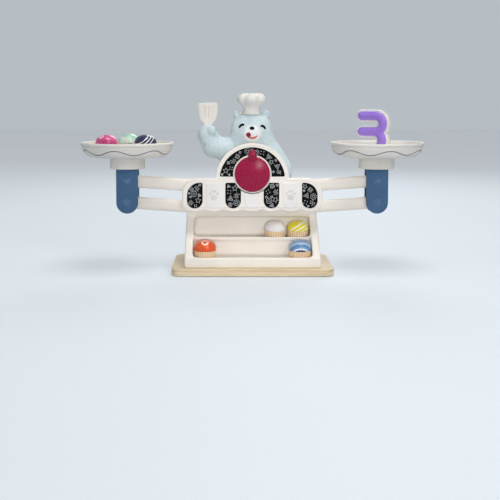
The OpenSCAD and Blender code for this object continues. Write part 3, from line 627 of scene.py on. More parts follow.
def stall():
    side, pocket = soft_section(STALL_SIDE, SIDE_SOFT), soft_section(STALL_POCKET, POCKET_SOFT)

    def field(x, y, z):
        out = carved(side(y, z), STALL_HALF - np.abs(x), SIDE_BLEND)
        out = carved(out, carved(pocket(y, z), POCKET_HALF - np.abs(x), POCKET_BLEND), LIP_BLEND)
        cover = np.maximum(np.maximum(COVER_Y - y, np.abs(x) - COVER_HALF), z - COVER_TOP)
        return np.maximum(out, -cover)

    moulding = surface_nets(field, (-81, -40, 7), (81, 50, 100), STALL_MESH)
    piece("stall_moulding", moulding, "stand", "stall_white", "stall_body", sharp=60)


stall()


# Awning front with its arch and the ring around the dial

AWNING_HALF, AWNING_ROUNDS, BAND_TOP, BAND_CORNER = 82.8, (1.9, 0.8), 112.0, 18.0
LOBE_PITCH, LOBE_R, LOBE_Z = 22.669, 24.34, 96.14
LOW_CORNER, LOW_CORNER_Z = 9.0, 80.8
ARCH_R, ARCH_Z = 43.8, 109.6
RING_OUT, RING_IN = 22.3, 21.2
RING_PROFILE = [(RING_IN, -1.0), (RING_OUT + 0.5, -1.0), (RING_OUT + 0.5, 0.5), (RING_OUT, 1.2),
                (RING_OUT - 0.6, 1.5), (RING_IN, 1.2), (RING_IN, -1.0)]


def awning_outline():
    right, cusp = [], degrees(asin(LOBE_PITCH / 2 / LOBE_R))
    for i in range(4):
        start, end = (-90 if i == 0 else -90 - cusp), (-60 if i == 3 else -90 + cusp)
        line = arc((i * LOBE_PITCH, LOBE_Z), LOBE_R, start, end, 24)
        right += line if i == 0 else line[1:]
    corner = (AWNING_HALF - LOW_CORNER, LOW_CORNER_Z)
    right = [p for p in right if p[0] < corner[0] or dist(p, corner) < LOW_CORNER]
    x, z = right[-1]
    start = degrees(atan2(z - corner[1], x - corner[0]))
    right += arc(corner, LOW_CORNER, start, 0, 14)[1:]
    right += arc((AWNING_HALF - BAND_CORNER, BAND_TOP - BAND_CORNER), BAND_CORNER, 0, 90, 14)
    rise = degrees(asin((BAND_TOP - ARCH_Z) / ARCH_R))
    right += arc((0, ARCH_Z), ARCH_R, rise, 90, 30)
    return right + mirrored(right[1:-1])


def awning():
    front = slab(awning_outline(), AWNING_FRONT, AWNING_BACK, *AWNING_ROUNDS, 5)
    piece("awning_front", front, "stand", "awning_white", "fascia", even=True)
    ring = faced_front(lathe(RING_PROFILE, 120), (0, AWNING_FRONT, PIVOT_Z))
    piece("dial_ring", ring, "stand", "awning_white")


awning()


# Awning panels, with a generic line print on the black ones

PANEL_W, PANEL_LOW, PANEL_TOP = 18.5, 76.0, 106.5
PANEL_CORNER, END_CORNER = 2.0, 15.0
PANEL_FRONT, PALE_FRONT, PANEL_BACK = AWNING_FRONT - 0.5, AWNING_FRONT - 0.9, AWNING_FRONT + 0.6
DARK_ROUNDS, PALE_ROUNDS = (0.35, 0.1), (0.85, 0.1)
PANEL_RING = RING_OUT + 0.4
ARCH_BASE, ARCH_PANEL_R, ARCH_EASE, ARCH_CORNER = BAND_TOP + 1.8, ARCH_R - 5.0, 2.2, [(0.6, 0.3), (1.6, 0)]
DARK, PALE, PAWED = (-3, -1, 1, 3), (-2, 0, 2), (-2, 2)
# X, Z and radius of a paw's pads, from its middle, and their section as shares of that radius
PAW_Z = 91.5
PAW_PADS = [(0, -2.0, 3.7), (-4.5, 2.5, 1.55), (-1.6, 4.9, 1.6), (1.6, 4.9, 1.6), (4.5, 2.5, 1.55)]
PAW_SECTION = [(0, -0.3), (1, -0.3), (1, 0), (0.92, 0.22), (0.7, 0.38), (0.35, 0.46), (0, 0.48)]


def outside_ring(points):
    """Pushes the part of an outline that lies in the dial's ring out to its edge."""
    out = []
    for x, z in points:
        grow = max(1.0, PANEL_RING / hypot(x, z - PIVOT_Z))
        out.append((x * grow, PIVOT_Z + (z - PIVOT_Z) * grow))
    return out


def densified(points, step):
    out = []
    for a, b in zip(points, points[1:] + points[:1]):
        count = max(1, int(dist(a, b) / step))
        out += [(a[0] + (b[0] - a[0]) * k / count, a[1] + (b[1] - a[1]) * k / count) for k in range(count)]
    return out


def panel_outline(i):
    x, half = i * LOBE_PITCH, PANEL_W / 2
    left = END_CORNER if i == -3 else PANEL_CORNER
    right = END_CORNER if i == 3 else PANEL_CORNER
    points = arc((x, PANEL_LOW + half), half, 180, 360, 24)
    points += arc((x + half - right, PANEL_TOP - right), right, 0, 90, 10)
    points += arc((x - half + left, PANEL_TOP - left), left, 90, 180, 10)
    points = [p for k, p in enumerate(points) if k == 0 or dist(p, points[k - 1]) > 1e-6]
    return outside_ring(densified(points, 0.8))


def arch_outline():
    low = degrees(asin((ARCH_BASE - ARCH_Z) / ARCH_PANEL_R))
    points = arc((0, ARCH_Z), ARCH_PANEL_R, low + ARCH_EASE, 180 - low - ARCH_EASE, 60)
    corner = [(points[-1][0] + right, ARCH_BASE + up) for right, up in ARCH_CORNER]
    inner = degrees(asin((ARCH_BASE - PIVOT_Z) / PANEL_RING))
    edge = arc((0, PIVOT_Z), PANEL_RING, 180 - inner, inner, 40)
    return points + corner + edge + mirrored(corner)


def panels():
    dark = [slab(panel_outline(i), PANEL_FRONT, PANEL_BACK, *DARK_ROUNDS, 2) for i in DARK]
    piece("print_panels", joined(*dark), "stand", "panel_black", "dark_panels", even=True)
    arch = slab(arch_outline(), PANEL_FRONT, PANEL_BACK, *DARK_ROUNDS, 2)
    piece("print_arch", arch, "stand", "panel_black", "arch_panel", even=True)
    pale = [slab(panel_outline(i), PALE_FRONT, PANEL_BACK, *PALE_ROUNDS, 4) for i in PALE]
    piece("plain_panels", joined(*pale), "stand", "panel_pale", "pale_panels", even=True)
    paws = []
    for i in PAWED:
        for x, z, r in PAW_PADS:
            dome = lathe([(share * r, rise) for share, rise in PAW_SECTION], 28)
            paws.append(faced_front(dome, (i * LOBE_PITCH + x, PALE_FRONT + 0.02, PAW_Z + z)))
    # The paw pads take a grey tint: painted shade, so that their low relief shows under the soft front light
    piece("paw_prints", joined(*paws), "stand", "panel_pale", look="paw_shade_grey")


panels()


PRINT_TRIES = {3.3: 300, 2.7: 200, 2.1: 300, 1.5: 500}
PRINT_GAP, PRINT_LINE, PRINT_RISE, PRINT_SUNK = 0.6, 0.42, 0.07, 0.1
PRINT_KINDS = ["rings", "star", "wave", "square", "triangle", "dots"]
DOT_R, DOT_LINE = 0.3, 0.55


def within(point, outline):
    x, z = point
    hit = False
    for (ax, az), (bx, bz) in zip(outline, outline[1:] + outline[:1]):
        if (az > z) != (bz > z) and x < ax + (z - az) / (bz - az) * (bx - ax):
            hit = not hit
    return hit


def ribbon(points, width=PRINT_LINE, closed=True):
    """A thin flat stroke, just proud of the panels."""
    p = np.array(points, float)
    ahead = np.roll(p, -1, 0) - p
    if not closed:
        ahead[-1] = ahead[-2]
    ahead /= np.linalg.norm(ahead, axis=1)[:, None]
    behind = np.roll(ahead, 1, 0)
    if not closed:
        behind[0] = ahead[0]
    run = ahead + behind
    run /= np.linalg.norm(run, axis=1)[:, None]
    share = (run * ahead).sum(1).clip(0.5, 1)[:, None]
    side = np.stack([-run[:, 1], run[:, 0]], 1) * width / 2 / share
    front, back = PANEL_FRONT - PRINT_RISE, PANEL_FRONT + PRINT_SUNK
    loops = []
    for (lx, lz), (rx, rz) in zip(p + side, p - side):
        loops.append([(lx, front, lz), (rx, front, rz), (rx, back, rz), (lx, back, lz)])
    return skin(loops, filled=not closed, closed=closed)


def motif(kind, x, z, size, turn):
    """One generic figure of the line print."""
    def at(r, angle):
        a = radians(angle + turn)
        return (x + r * cos(a), z + r * sin(a))

    def loop(share, count, start=0):
        return ribbon([at(size * share, 360 / count * k + start) for k in range(count)])

    if kind == "rings":
        return [loop(1, 30), loop(0.45, 18)]
    if kind == "star":
        return [ribbon([at(size * (1.1 if k % 2 == 0 else 0.48), 36 * k) for k in range(10)])]
    if kind == "triangle":
        return [loop(1.1, 3), loop(0.4, 3)]
    if kind == "square":
        return [loop(0.95, 4), loop(0.45, 4, 45)]
    if kind == "dots":
        return [ribbon(circle(*at(size * 0.7, 90 * k), DOT_R, 10), DOT_LINE) for k in range(4)]
    c, s = cos(radians(turn)), sin(radians(turn))
    lines = []
    for lift in (-0.45, 0.35):
        wave = [(-1 + k / 6, 0.4 * sin(k * 0.95) + lift) for k in range(13)]
        line = [(x + size * (u * c - v * s), z + size * (u * s + v * c)) for u, v in wave]
        lines.append(ribbon(line, closed=False))
    return lines


def line_print():
    draw = random.Random(11)
    sizes = [size for size, tries in PRINT_TRIES.items() for _ in range(tries)]
    meshes, taken = [], []
    for outline in [panel_outline(i) for i in DARK] + [arch_outline()]:
        xs, zs = zip(*outline)
        for size in sizes:
            x, z = draw.uniform(min(xs), max(xs)), draw.uniform(min(zs), max(zs))
            turn = draw.uniform(0, 360)
            reach = size + PRINT_GAP
            if not all(within(p, outline) for p in circle(x, z, reach, 10)):
                continue
            if any(dist((x, z), (a, b)) < reach + r for a, b, r in taken):
                continue
            meshes += motif(PRINT_KINDS[len(taken) % len(PRINT_KINDS)], x, z, size, turn)
            taken.append((x, z, size))
    piece("line_print", joined(*meshes), "stand", "panel_pale", look="print_grey")


line_print()


# Pointer dial: a domed knob with a waisted tip

DIAL_R, DIAL_TOP_R, DIAL_RIM, DIAL_RISE, DIAL_STEPS = 20.8, 20.3, 2.6, 8.0, 18
DIAL_FOOT = [(0, 0.6), (DIAL_R - 0.6, 0.6), (DIAL_R, 1.0), (DIAL_R, 1.6), (DIAL_R - 0.2, 2.2)]
# Half width and height of the tip
TIP_SIDE = [(3.4, 129.5), (4.7, 133.6), (5.1, 136.8), (5.0, 139.8), (4.1, 142.4), (2.4, 144.6), (0.9, 146.2)]
TIP_LOW, TIP_HIGH = 129.0, 146.9
TIP_Y, TIP_FLAT, TIP_SUNK, TIP_EASE, TIP_EASE_TOP = AWNING_FRONT - 4.3, 0.62, 2.4, 9, 139


def dial():
    rings = list(DIAL_FOOT)
    for t in [k / DIAL_STEPS for k in range(DIAL_STEPS)]:
        rings.append((DIAL_TOP_R * (1 - t), DIAL_RIM + (DIAL_RISE - DIAL_RIM) * (1 - (1 - t) ** 2)))
    knob = faced_front(lathe(rings + [(0, DIAL_RISE)], 120), (0, AWNING_FRONT, PIVOT_Z))
    verts, faces = lathe([(0, TIP_LOW), *spline(TIP_SIDE, 4), (0, TIP_HIGH)], 48)
    tip = []
    for x, y, z in verts:
        sunk = TIP_SUNK * min(1.0, max(0.0, (TIP_EASE_TOP - z) / TIP_EASE))
        tip.append((x, TIP_Y + sunk + TIP_FLAT * y, z))
    piece("dial_knob", joined(knob, (tip, faces)), "upper_beam", "dial_crimson", "pointer_dial", sharp=50)


dial()


# Beams: gull-wing bars with soft edges

BEAM_HALF, BEAM_Y, BEAM_ROUND = 7.2, 4.0, 5.4
BEAM_BEND, BEAM_DROP, BEAM_RISE = 79.0, 14.2, 5.0
# Pivot height, then the reach and the depth of the dip in the middle
BEAMS = {"upper_beam": (PIVOT_Z, 45.0, 12.9), "lower_beam": (LOW_Z, 60.0, 9.4)}


def beam_dip(x, run, dip):
    if x <= run:
        return -dip * (1 - cos(pi * x / run)) / 2
    if x <= BEAM_BEND:
        return -dip - (BEAM_DROP - dip) * (1 - cos(pi * (x - run) / (BEAM_BEND - run))) / 2
    return -BEAM_DROP + BEAM_RISE * (x - BEAM_BEND) / (HALF_SPAN - BEAM_BEND)


def beams():
    xs = [BEAM_BEND * k / 24 for k in range(25)]
    xs += [BEAM_BEND + (HALF_SPAN - BEAM_BEND) * k / 8 for k in range(1, 9)]
    for name, (z, run, dip) in BEAMS.items():
        top = [(x, z + beam_dip(x, run, dip) + BEAM_HALF) for x in xs]
        low = [(x, z + beam_dip(x, run, dip) - BEAM_HALF) for x in xs]
        end = arc((HALF_SPAN, z - BEAM_DROP + BEAM_RISE), BEAM_HALF, -86, 86, 14)
        right = low[1:-1] + end + top[-2:0:-1]
        outline = low[:1] + right + top[:1] + mirrored(right)
        bar = slab(outline, -BEAM_Y, BEAM_Y, BEAM_ROUND, BEAM_ROUND, 9, deep=0.5)
        piece(name + "_bar", bar, name, "beam_cream", name, even=True)


beams()


# Hangers: forked bracket, rivets, collar and pan

FORK_HALF, FORK_Y, FORK_CORNER, FORK_ROUND = 12.9, 9.0, 1.2, 1.3
SLOT_Y, SLOT_END, SLOT_TOP, SLOT_PAST, NO_ROUND = 4.6, 10.4, BRACKET_TOP - 3.2, 2.0, 0.0001
RIVET_FOOT = [(0, -2.0), (3.0, -2.0), (3.0, 0.0), (5.35, 0.0), (5.35, 0.35)]
RIVET_R, RIVET_LOW, RIVET_RISE = 5.1, 0.4, 2.9
RIVET_BACK = [(0, 0.4), (4.4, 0.4), (4.4, -0.6), (4.0, -1.2), (2.4, -1.5), (0, -1.6)]


def bracket(sign, body, side):
    outline = arc((HALF_SPAN, END_LOW_Z), FORK_HALF, 180, 360, 40)
    for across, start in ((1, 0), (-1, 90)):
        corner = (HALF_SPAN + across * (FORK_HALF - FORK_CORNER), BRACKET_TOP - FORK_CORNER)
        outline += arc(corner, FORK_CORNER, start, start + 90, 4)
    left, low = HALF_SPAN - FORK_HALF - SLOT_PAST, END_LOW_Z - FORK_HALF - SLOT_PAST
    slot = [(left, low), (HALF_SPAN, low)] + arc((HALF_SPAN, END_LOW_Z), SLOT_END, -90, 0, 12)
    slot += [(HALF_SPAN + SLOT_END, SLOT_TOP), (left, SLOT_TOP)]
    if sign < 0:
        outline, slot = mirrored(outline), mirrored(slot)
    made = mesh_object(side + "_fork", *slab(outline, -FORK_Y, FORK_Y, FORK_ROUND, FORK_ROUND, 4))
    cut(made, mesh_object("slot", *slab(slot, -SLOT_Y, SLOT_Y, NO_ROUND, NO_ROUND, 1)))
    finished(made, body, "bracket_blue", side + "_bracket", sharp=35)
    dome = [(RIVET_R * t, RIVET_LOW + RIVET_RISE * (1 - t * t)) for t in np.linspace(1, 0.1, 10)]
    head = lathe(RIVET_FOOT + dome + [(0, RIVET_LOW + RIVET_RISE)], 48)
    rivets = []
    for z in (END_Z, END_LOW_Z):
        rivets.append(faced_front(head, (sign * HALF_SPAN, -FORK_Y, z)))
        rivets.append(faced_front(lathe(RIVET_BACK, 40), (sign * HALF_SPAN, FORK_Y, z)))
    # The rivets take a lighter blue than the bracket: painted highlight on their domes
    piece(side + "_rivets", joined(*rivets), body, "bracket_blue", side + "_pins", sharp=60,
          look="rivet_highlight_blue")


PAN_SIDES, PAN_UNDER = 168, (0, 30, 38.5)
BOWL_FOOT, BOWL_FLARE, BOWL_H, BOWL_LOW, BOWL_HIGH = 41.0, 12.7, 13.9, 136.75, 150.0
WAVES, WAVE_Z, WAVE_H, WAVE_HALF = 7, 143.2, 2.6, 1.0
# Height above the wave's middle and depth of the wavy groove, and the dark bead that lies in it as painted
# shadow along the groove
GROOVE = [(-0.75, 0.35), (-0.45, 0.85), (-0.1, 1.25), (0.25, 1.2), (0.4, 0.5), (0.5, 0.05), (0.7, -0.05)]
SHADOW_BEAD_R, SHADOW_BEAD_LIFT, SHADOW_BEAD_DEEP = 0.6, 0.05, 0.75
PAN_RIM = [(53.3, 150.15), (53.3, 150.45), (54.5, 150.6), (55.05, 150.9), (55.2, 151.5), (55.2, 152.9),
           (55.0, 153.5), (54.5, 153.9), (53.8, 154.0), (53.0, 153.9), (52.4, 153.5), (52.1, 152.8)]
DISH_FLAT, DISH_FLARE, DISH_H = 39.0, 13.1, 12.3
COLLAR_R = 20.9
COLLAR_SIDE = [(-1.1, BRACKET_TOP), (-0.3, BRACKET_TOP + 0.3), (0, BRACKET_TOP + 1.0), (0, COLLAR_TOP - 0.6),
               (-0.4, COLLAR_TOP)]


def bowl_radius(z):
    c = 1 - (z - COLLAR_TOP) / BOWL_H
    return BOWL_FOOT + BOWL_FLARE * sqrt(max(0.0, 1 - c * c))


def pan(sign, body, side, crest):
    middle = (sign * HALF_SPAN, 0, 0)

    def wave(turn):
        return WAVE_Z + WAVE_H * cos(WAVES * (turn + pi / 2 - radians(crest)))

    def ring(lift, level=0.0, share=1.0, depth=0.0):
        """A ring of the bowl near the wave, or a share of the way there from a level."""
        def at(turn):
            z = level + (wave(turn) + lift - level) * share
            return bowl_radius(z) - depth, z
        return at

    rings = [(r, COLLAR_TOP) for r in PAN_UNDER]
    rings += [ring(-WAVE_HALF, BOWL_LOW, share) for share in (0.0, 0.15, 0.3, 0.45, 0.6, 0.8, 1.0)]
    rings += [ring(lift, depth=depth) for lift, depth in GROOVE]
    rings += [ring(WAVE_HALF, BOWL_HIGH, share) for share in (1.0, 0.8, 0.6, 0.4, 0.2, 0.0)]
    rings += PAN_RIM
    for a in np.radians(np.linspace(90, 0, 13)):
        rings.append((DISH_FLAT + DISH_FLARE * sin(a) ** 1.1, PAN_FLOOR + DISH_H * (1 - cos(a))))
    rings += [(25, PAN_FLOOR), (0, PAN_FLOOR)]
    piece(side + "_dish", moved(lathe(rings, PAN_SIDES), middle), body, "pan_white", side + "_pan", sharp=60)
    # A dark grey tube laid in the groove: painted shadow under the wave's edge, not a part of the pan
    loops = []
    for turn in turns(PAN_SIDES):
        z = wave(turn) + SHADOW_BEAD_LIFT
        r = bowl_radius(z) - SHADOW_BEAD_DEEP
        section = circle(r, z, SHADOW_BEAD_R, 8)
        loops.append([(out * cos(turn), out * sin(turn), up) for out, up in section])
    bead = moved(skin(loops, closed=True), middle)
    piece(side + "_groove_shadow", bead, body, "pan_white", sharp=80, look="groove_shadow_grey")
    rings = [(0, BRACKET_TOP)] + [(COLLAR_R + out, z) for out, z in COLLAR_SIDE] + [(0, COLLAR_TOP)]
    collar = moved(lathe(rings), middle)
    piece(side + "_boss", collar, body, "collar_white", side + "_collar", sharp=50, even=True)


for hanger_sign, hanger_side, crest_at in ((-1, "left", -9.2), (1, "right", 7.5)):
    bracket(hanger_sign, hanger_side + "_hanger", hanger_side)
    pan(hanger_sign, hanger_side + "_hanger", hanger_side, crest_at)


# Cupcake weights: fluted wooden cup and painted cap

CUP_H, CUP_R, CUP_FOOT, CUP_LIFT, FLUTE_DEPTH = 13.4, 13.0, 11.9, 0.05, 0.3
CAP_H, CAP_R, CAP_EDGE = 12.0, 13.1, 2.1
CAP_FOOT = [(0, 0), (12.0, 0), (12.9, 0.35), (13.2, 1.1), (CAP_R, CAP_EDGE)]
UPPER_SHELF, LOWER_SHELF = (10.6, 32.5), (-20.1, 13.7)
CAKES = {
    "pink": (-171.0, -18.0, PAN_FLOOR), "navy": (-125.5, -18.0, PAN_FLOOR), "mint": (-150.0, 20.0, PAN_FLOOR),
    "white": (28.4, *UPPER_SHELF), "yellow": (56.1, *UPPER_SHELF),
    "orange": (-55.9, *LOWER_SHELF), "blue": (56.4, *LOWER_SHELF),
}


def cupcake(name, x, y, z):
    def flute(share, rim=0.0):
        r = CUP_FOOT + (CUP_R - CUP_FOOT) * share - rim - FLUTE_DEPTH

        def ring(turn):
            return r + FLUTE_DEPTH * sin(FLUTES * turn), CUP_H * share + CUP_LIFT
        return ring

    rings = [(0, CUP_LIFT), (CUP_FOOT - 1.2, CUP_LIFT), flute(0.0, 0.5)]
    rings += [flute(share) for share in (0.04, 0.2, 0.4, 0.6, 0.8, 0.96)]
    rings += [flute(1.0, 0.4), (CUP_R - 1.6, CUP_H), (0, CUP_H)]
    body, case = name + "_cupcake", lathe(rings, FLUTES * 8)
    piece(name + "_case", case, body, "cup_wood", name + "_cup", at=(x, y, z), sharp=60)
    dome = []
    for t in [pi / 2 * k / 15 for k in range(1, 15)]:
        dome.append((CAP_R * cos(t) ** 0.9, CAP_EDGE + (CAP_H - CAP_EDGE) * sin(t)))
    cap = lathe(CAP_FOOT + dome + [(0, CAP_H)])
    piece(name + "_cap", cap, body, "icing_" + name, name + "_icing", at=(x, y, z + CUP_H), sharp=60)


for flavour, spot in CAKES.items():
    cupcake(flavour, *spot)


# Number weight: a puffed stroke on a pale plate

DIGIT_X, DIGIT_Z, DIGIT_YAW, DIGIT_MESH = HALF_SPAN - 3, PAN_FLOOR + 27.3, radians(-34.0), 0.75
STROKE_HALF, STROKE_RISE, STROKE_SUNK = 5.15, 3.8, 0.6
PLATE_HALF, PLATE_THICK, PLATE_Y, PLATE_ROUND = 7.25, 7.4, 1.0, 1.1
PLATE_FRONT, PLATE_BACK = PLATE_Y - PLATE_THICK / 2, PLATE_Y + PLATE_THICK / 2
# Height and right end of each bar, and X, Z and radius of each bow
BAR_START = -15.0
BARS = ((-20.0, 0.3), (1.1, 2.5), (20.0, 2.5))
BOWS = ((2.5, 10.55, 9.45), (0.3, -9.45, 10.55))


def digit_distance(x, z):
    """Distance in the plane from the middle line of a three."""
    best = np.full(np.shape(x), 1e9)
    for level, end in BARS:
        best = np.minimum(best, np.hypot(x - np.clip(x, BAR_START, end), z - level))
    for middle, level, radius in BOWS:
        out = np.abs(np.hypot(x - middle, z - level) - radius)
        best = np.where(x >= middle, np.minimum(best, out), best)
    return best


def plate_field(x, y, z):
    side = digit_distance(x, z) - (PLATE_HALF - PLATE_ROUND)
    depth = np.abs(y - PLATE_Y) - (PLATE_THICK / 2 - PLATE_ROUND)
    outside = np.hypot(np.maximum(side, 0), np.maximum(depth, 0))
    return outside + np.minimum(np.maximum(side, depth), 0) - PLATE_ROUND


def stroke_field(x, y, z):
    out = np.hypot(digit_distance(x, z), (y - PLATE_FRONT) * STROKE_HALF / STROKE_RISE) - STROKE_HALF
    return np.maximum(out, y - PLATE_FRONT - STROKE_SUNK)


def digit():
    c, s = cos(DIGIT_YAW), sin(DIGIT_YAW)
    for name, field, slot, node in (("number_plate", plate_field, "digit_pale", "digit_plate"),
                                    ("number_stroke", stroke_field, "digit_purple", "digit_stroke")):
        verts, faces = surface_nets(field, (-24, PLATE_FRONT - 6, -29), (24, PLATE_BACK + 2, 29), DIGIT_MESH)
        turned = [(DIGIT_X + x * c - y * s, x * s + y * c, DIGIT_Z + z) for x, y, z in verts]
        piece(name, (turned, faces), "number_three", slot, node, sharp=55)


digit()


# Bear: one rounded figure in two shells, with its face, hat and spatula

# Height, with the half width to the right and to the left, and with the half depth
TORSO_W = spline([(88, 43.6, 38.0), (98, 46.6, 40.0), (105, 48.6, 41.0), (112, 49.8, 41.6),
                  (120, 50.2, 41.4), (126, 49.0, 39.4), (135, 43.8, 35.6), (145, 37.2, 32.4),
                  (152, 32.6, 29.4), (158, 28.1, 24.9), (166, 19.6, 16.4), (172, 9.6, 6.4), (178, 3.6, 0.4)])
TORSO_D = spline([(88, 14), (118, 14), (130, 14), (140, 13.8), (150, 13.4), (160, 11), (170, 6), (178, 2)])
TORSO_POWER = 2.5
# Forms with Y from the bear's own middle plane: centre and radii, or both ends and their radii
HEAD, HEAD_POWER, HEAD_GAIN = ((0, 0, 165.2), (25.6, 16.2, 22.2)), 2.6, 17 / 16.2
MUZZLE = (0.6, -12.0, 164.2), (11.5, 6.4, 9.5)
ELBOW, ELBOW_R = (-46.5, -0.4, 147.0), 13.2
UPPER_ARM = (-33, 0, 144.4), ELBOW, 13.4, ELBOW_R
FOREARM = ELBOW, (-53.9, -1.0, 161.6), ELBOW_R, 12.3
THUMB = (-48.9, -10.4, 166.4), (5.9, 4.8, 6.2)
DENT = (-58.6, -9.6, 148.4), (2.3, 4.4, 2.1)
EAR_X, EAR_Y, EAR_Z, EAR_RADII = 17.4, 1.0, 186.8, (5.5, 4.2, 5.5)
EAR_CUP_X, EAR_CUP_Y, EAR_CUP_RADII = 17.2, -4.4, (3.2, 3.0, 3.2)
BODY_BLEND, ARM_BLEND, THUMB_BLEND, DENT_BLEND, EAR_BLEND, EAR_CUP_BLEND = 5.0, 3.0, 0.5, 1.2, 1.2, 0.8
BEAR_MESH, SEAM_NUDGE = 1.15, 0.35


def bear_field(x, y, z):
    y = y - BEAR_Y
    right, left = (np.interp(z, TORSO_W[:, 0], TORSO_W[:, k]) for k in (1, 2))
    w, d = (right + left) / 2, np.interp(z, *TORSO_D.T)
    q = np.abs((x - (right - left) / 2) / w) ** TORSO_POWER + np.abs(y / d) ** TORSO_POWER
    torso = (q ** (1 / TORSO_POWER) - 1) * np.minimum(w, d)
    out = blend_of(torso, ellipsoid(x, y, z, *HEAD, HEAD_POWER) * HEAD_GAIN, BODY_BLEND)
    out = blend_of(out, ellipsoid(x, y, z, *MUZZLE), BODY_BLEND)
    arm = blend_of(capsule(x, y, z, *UPPER_ARM), capsule(x, y, z, *FOREARM), ARM_BLEND)
    out = blend_of(out, arm, BODY_BLEND)
    out = blend_of(out, ellipsoid(x, y, z, *THUMB), THUMB_BLEND)
    out = carved(out, ellipsoid(x, y, z, *DENT), DENT_BLEND)
    for s in (-1, 1):
        ear = ellipsoid(x, y, z, (s * EAR_X, EAR_Y, EAR_Z), EAR_RADII)
        cup = ellipsoid(x, y, z, (s * EAR_CUP_X, EAR_CUP_Y, EAR_Z), EAR_CUP_RADII)
        out = blend_of(out, carved(ear, cup, EAR_CUP_BLEND), EAR_BLEND)
    return np.maximum(out, HOUSING_TOP - z)


def bear():
    verts, faces = surface_nets(bear_field, (-69, BEAR_Y - 24, 95), (53, BEAR_Y + 20, 196), BEAR_MESH)
    whole = mesh_object("bear_whole", verts, faces)
    tree = BVHTree.FromPolygons([Vector(v) for v in verts], faces)
    for name, node, keep in (("bear_front_shell", "bear_front", -1), ("bear_back_shell", "bear_back", 1)):
        made = placed(name, whole.data.copy())
        work = bmesh.new()
        work.from_mesh(made.data)
        geometry = list(work.verts) + list(work.edges) + list(work.faces)
        bmesh.ops.bisect_plane(work, geom=geometry, plane_co=(0, BEAR_Y * MM, 0), plane_no=(0, keep, 0),
                               clear_inner=True)
        rim = [v for v in work.verts if v.is_boundary]
        nudge = {v: Vector((v.normal.x, 0, v.normal.z)).normalized() * SEAM_NUDGE * MM for v in rim}
        for v in rim:
            if v.co.z > (HOUSING_TOP + 0.2) * MM:
                v.co -= nudge[v]
        bmesh.ops.holes_fill(work, edges=[e for e in work.edges if e.is_boundary])
        bmesh.ops.recalc_face_normals(work, faces=work.faces)
        work.to_mesh(made.data)
        work.free()
        finished(made, "stand", "bear_blue", node, sharp=50)
    bpy.data.objects.remove(whole)
    return tree


bear_tree = bear()


# Face: places in X-Z on the bear's front, with the widths along each line

LEFT_EYE = [(-15.4, 170.3), (-14.3, 172.2), (-12.5, 173.8), (-10.7, 174.4), (-9.2, 173.7)]
RIGHT_EYE = [(10.8, 171.9), (12.6, 172.9), (14.4, 172.1), (15.8, 170.6), (16.8, 168.8)]
EYE_WIDTHS, EYE_LIFT = (0.9, 1.5, 1.6, 1.5, 0.9), 0.6
SMILE = [(-5.0, 160.2), (-3.0, 158.9), (0.2, 158.1), (3.4, 158.7), (5.6, 160.0), (6.7, 161.4)]
SMILE_WIDTHS, SMILE_LIFT = (0.8, 1.05, 1.15, 1.0, 0.5), 0.45
NOSE = dict(x=0.3, z=170.2, wide=3.1, tall=2.1, lift=1.0)
TONGUE = dict(x=-4.0, z=162.3, wide=3.0, tall=2.9, lift=0.8)
BEAD_RINGS = 8


def on_bear(x, z):
    """The bear's front surface at that place, and its outward direction."""
    spot, normal, _, _ = bear_tree.ray_cast(Vector((x, -100, z)), Vector((0, 1, 0)))
    if normal.y > 0:
        normal = -normal
    return np.array(spot), np.array(normal)


def stroke_on_bear(points, radii, lift):
    """A soft rounded line lying on the bear's face."""
    line, loops = spline(points, 6), []
    width = np.interp(np.linspace(0, 1, len(line)), np.linspace(0, 1, len(radii)), radii)
    for k, (x, z) in enumerate(line):
        spot, normal = on_bear(x, z)
        run = line[min(k + 1, len(line) - 1)] - line[max(k - 1, 0)]
        side = np.cross(normal, (run[0], 0, run[1]))
        side *= width[k] / np.linalg.norm(side)
        loops.append([spot + side * cos(a) + normal * lift * sin(a) for a in turns(12)])
    return skin(loops, filled=True)


def bead_on_bear(x, z, wide, tall, lift):
    """A flat oval bead lying on the bear's face."""
    loops = []
    for k, t in enumerate(np.linspace(-pi / 2, pi / 2, BEAD_RINGS)):
        reach = 0.0 if k in (0, BEAD_RINGS - 1) else cos(t)
        loop = []
        for a in turns(32 if reach else 1):
            spot, normal = on_bear(x + wide * reach * cos(a), z + tall * reach * sin(a))
            loop.append(spot + normal * lift * sin(t))
        loops.append(loop)
    return skin(loops)


def face():
    eyes = [stroke_on_bear(eye, EYE_WIDTHS, EYE_LIFT) for eye in (LEFT_EYE, RIGHT_EYE)]
    piece("bear_eyes", joined(*eyes), "stand", "panel_black", sharp=70)
    piece("bear_nose", bead_on_bear(**NOSE), "stand", "panel_black", sharp=70)
    smile = stroke_on_bear(SMILE, SMILE_WIDTHS, SMILE_LIFT)
    piece("bear_smile", smile, "stand", "dial_crimson", sharp=70, look="smile_red")
    piece("bear_tongue", bead_on_bear(**TONGUE), "stand", "dial_crimson", sharp=70)


face()


HAT_LOBES, HAT_PUFF, HAT_FOLD, HAT_LIFT = 5, 0.07, 0.015, 0.9
HAT_LOW, HAT_TOP, HAT_BAND_R = 186.4, 211.3, 10.6
PUFF_FROM, LIFT_FROM, PUFF_RUN, LIFT_R = 193, 203, 9, 9
HAT_SIDE = [(11.2, 186.8), (11.3, 188.2), (10.8, 190.4), (10.2, 193.4), (11.0, 196.4), (14.0, 199.4),
            (16.7, 202.6), (17.0, 206.0), (15.4, 209.3), (11.6, 211.4), (6.0, 212.0), (2.0, 211.6)]


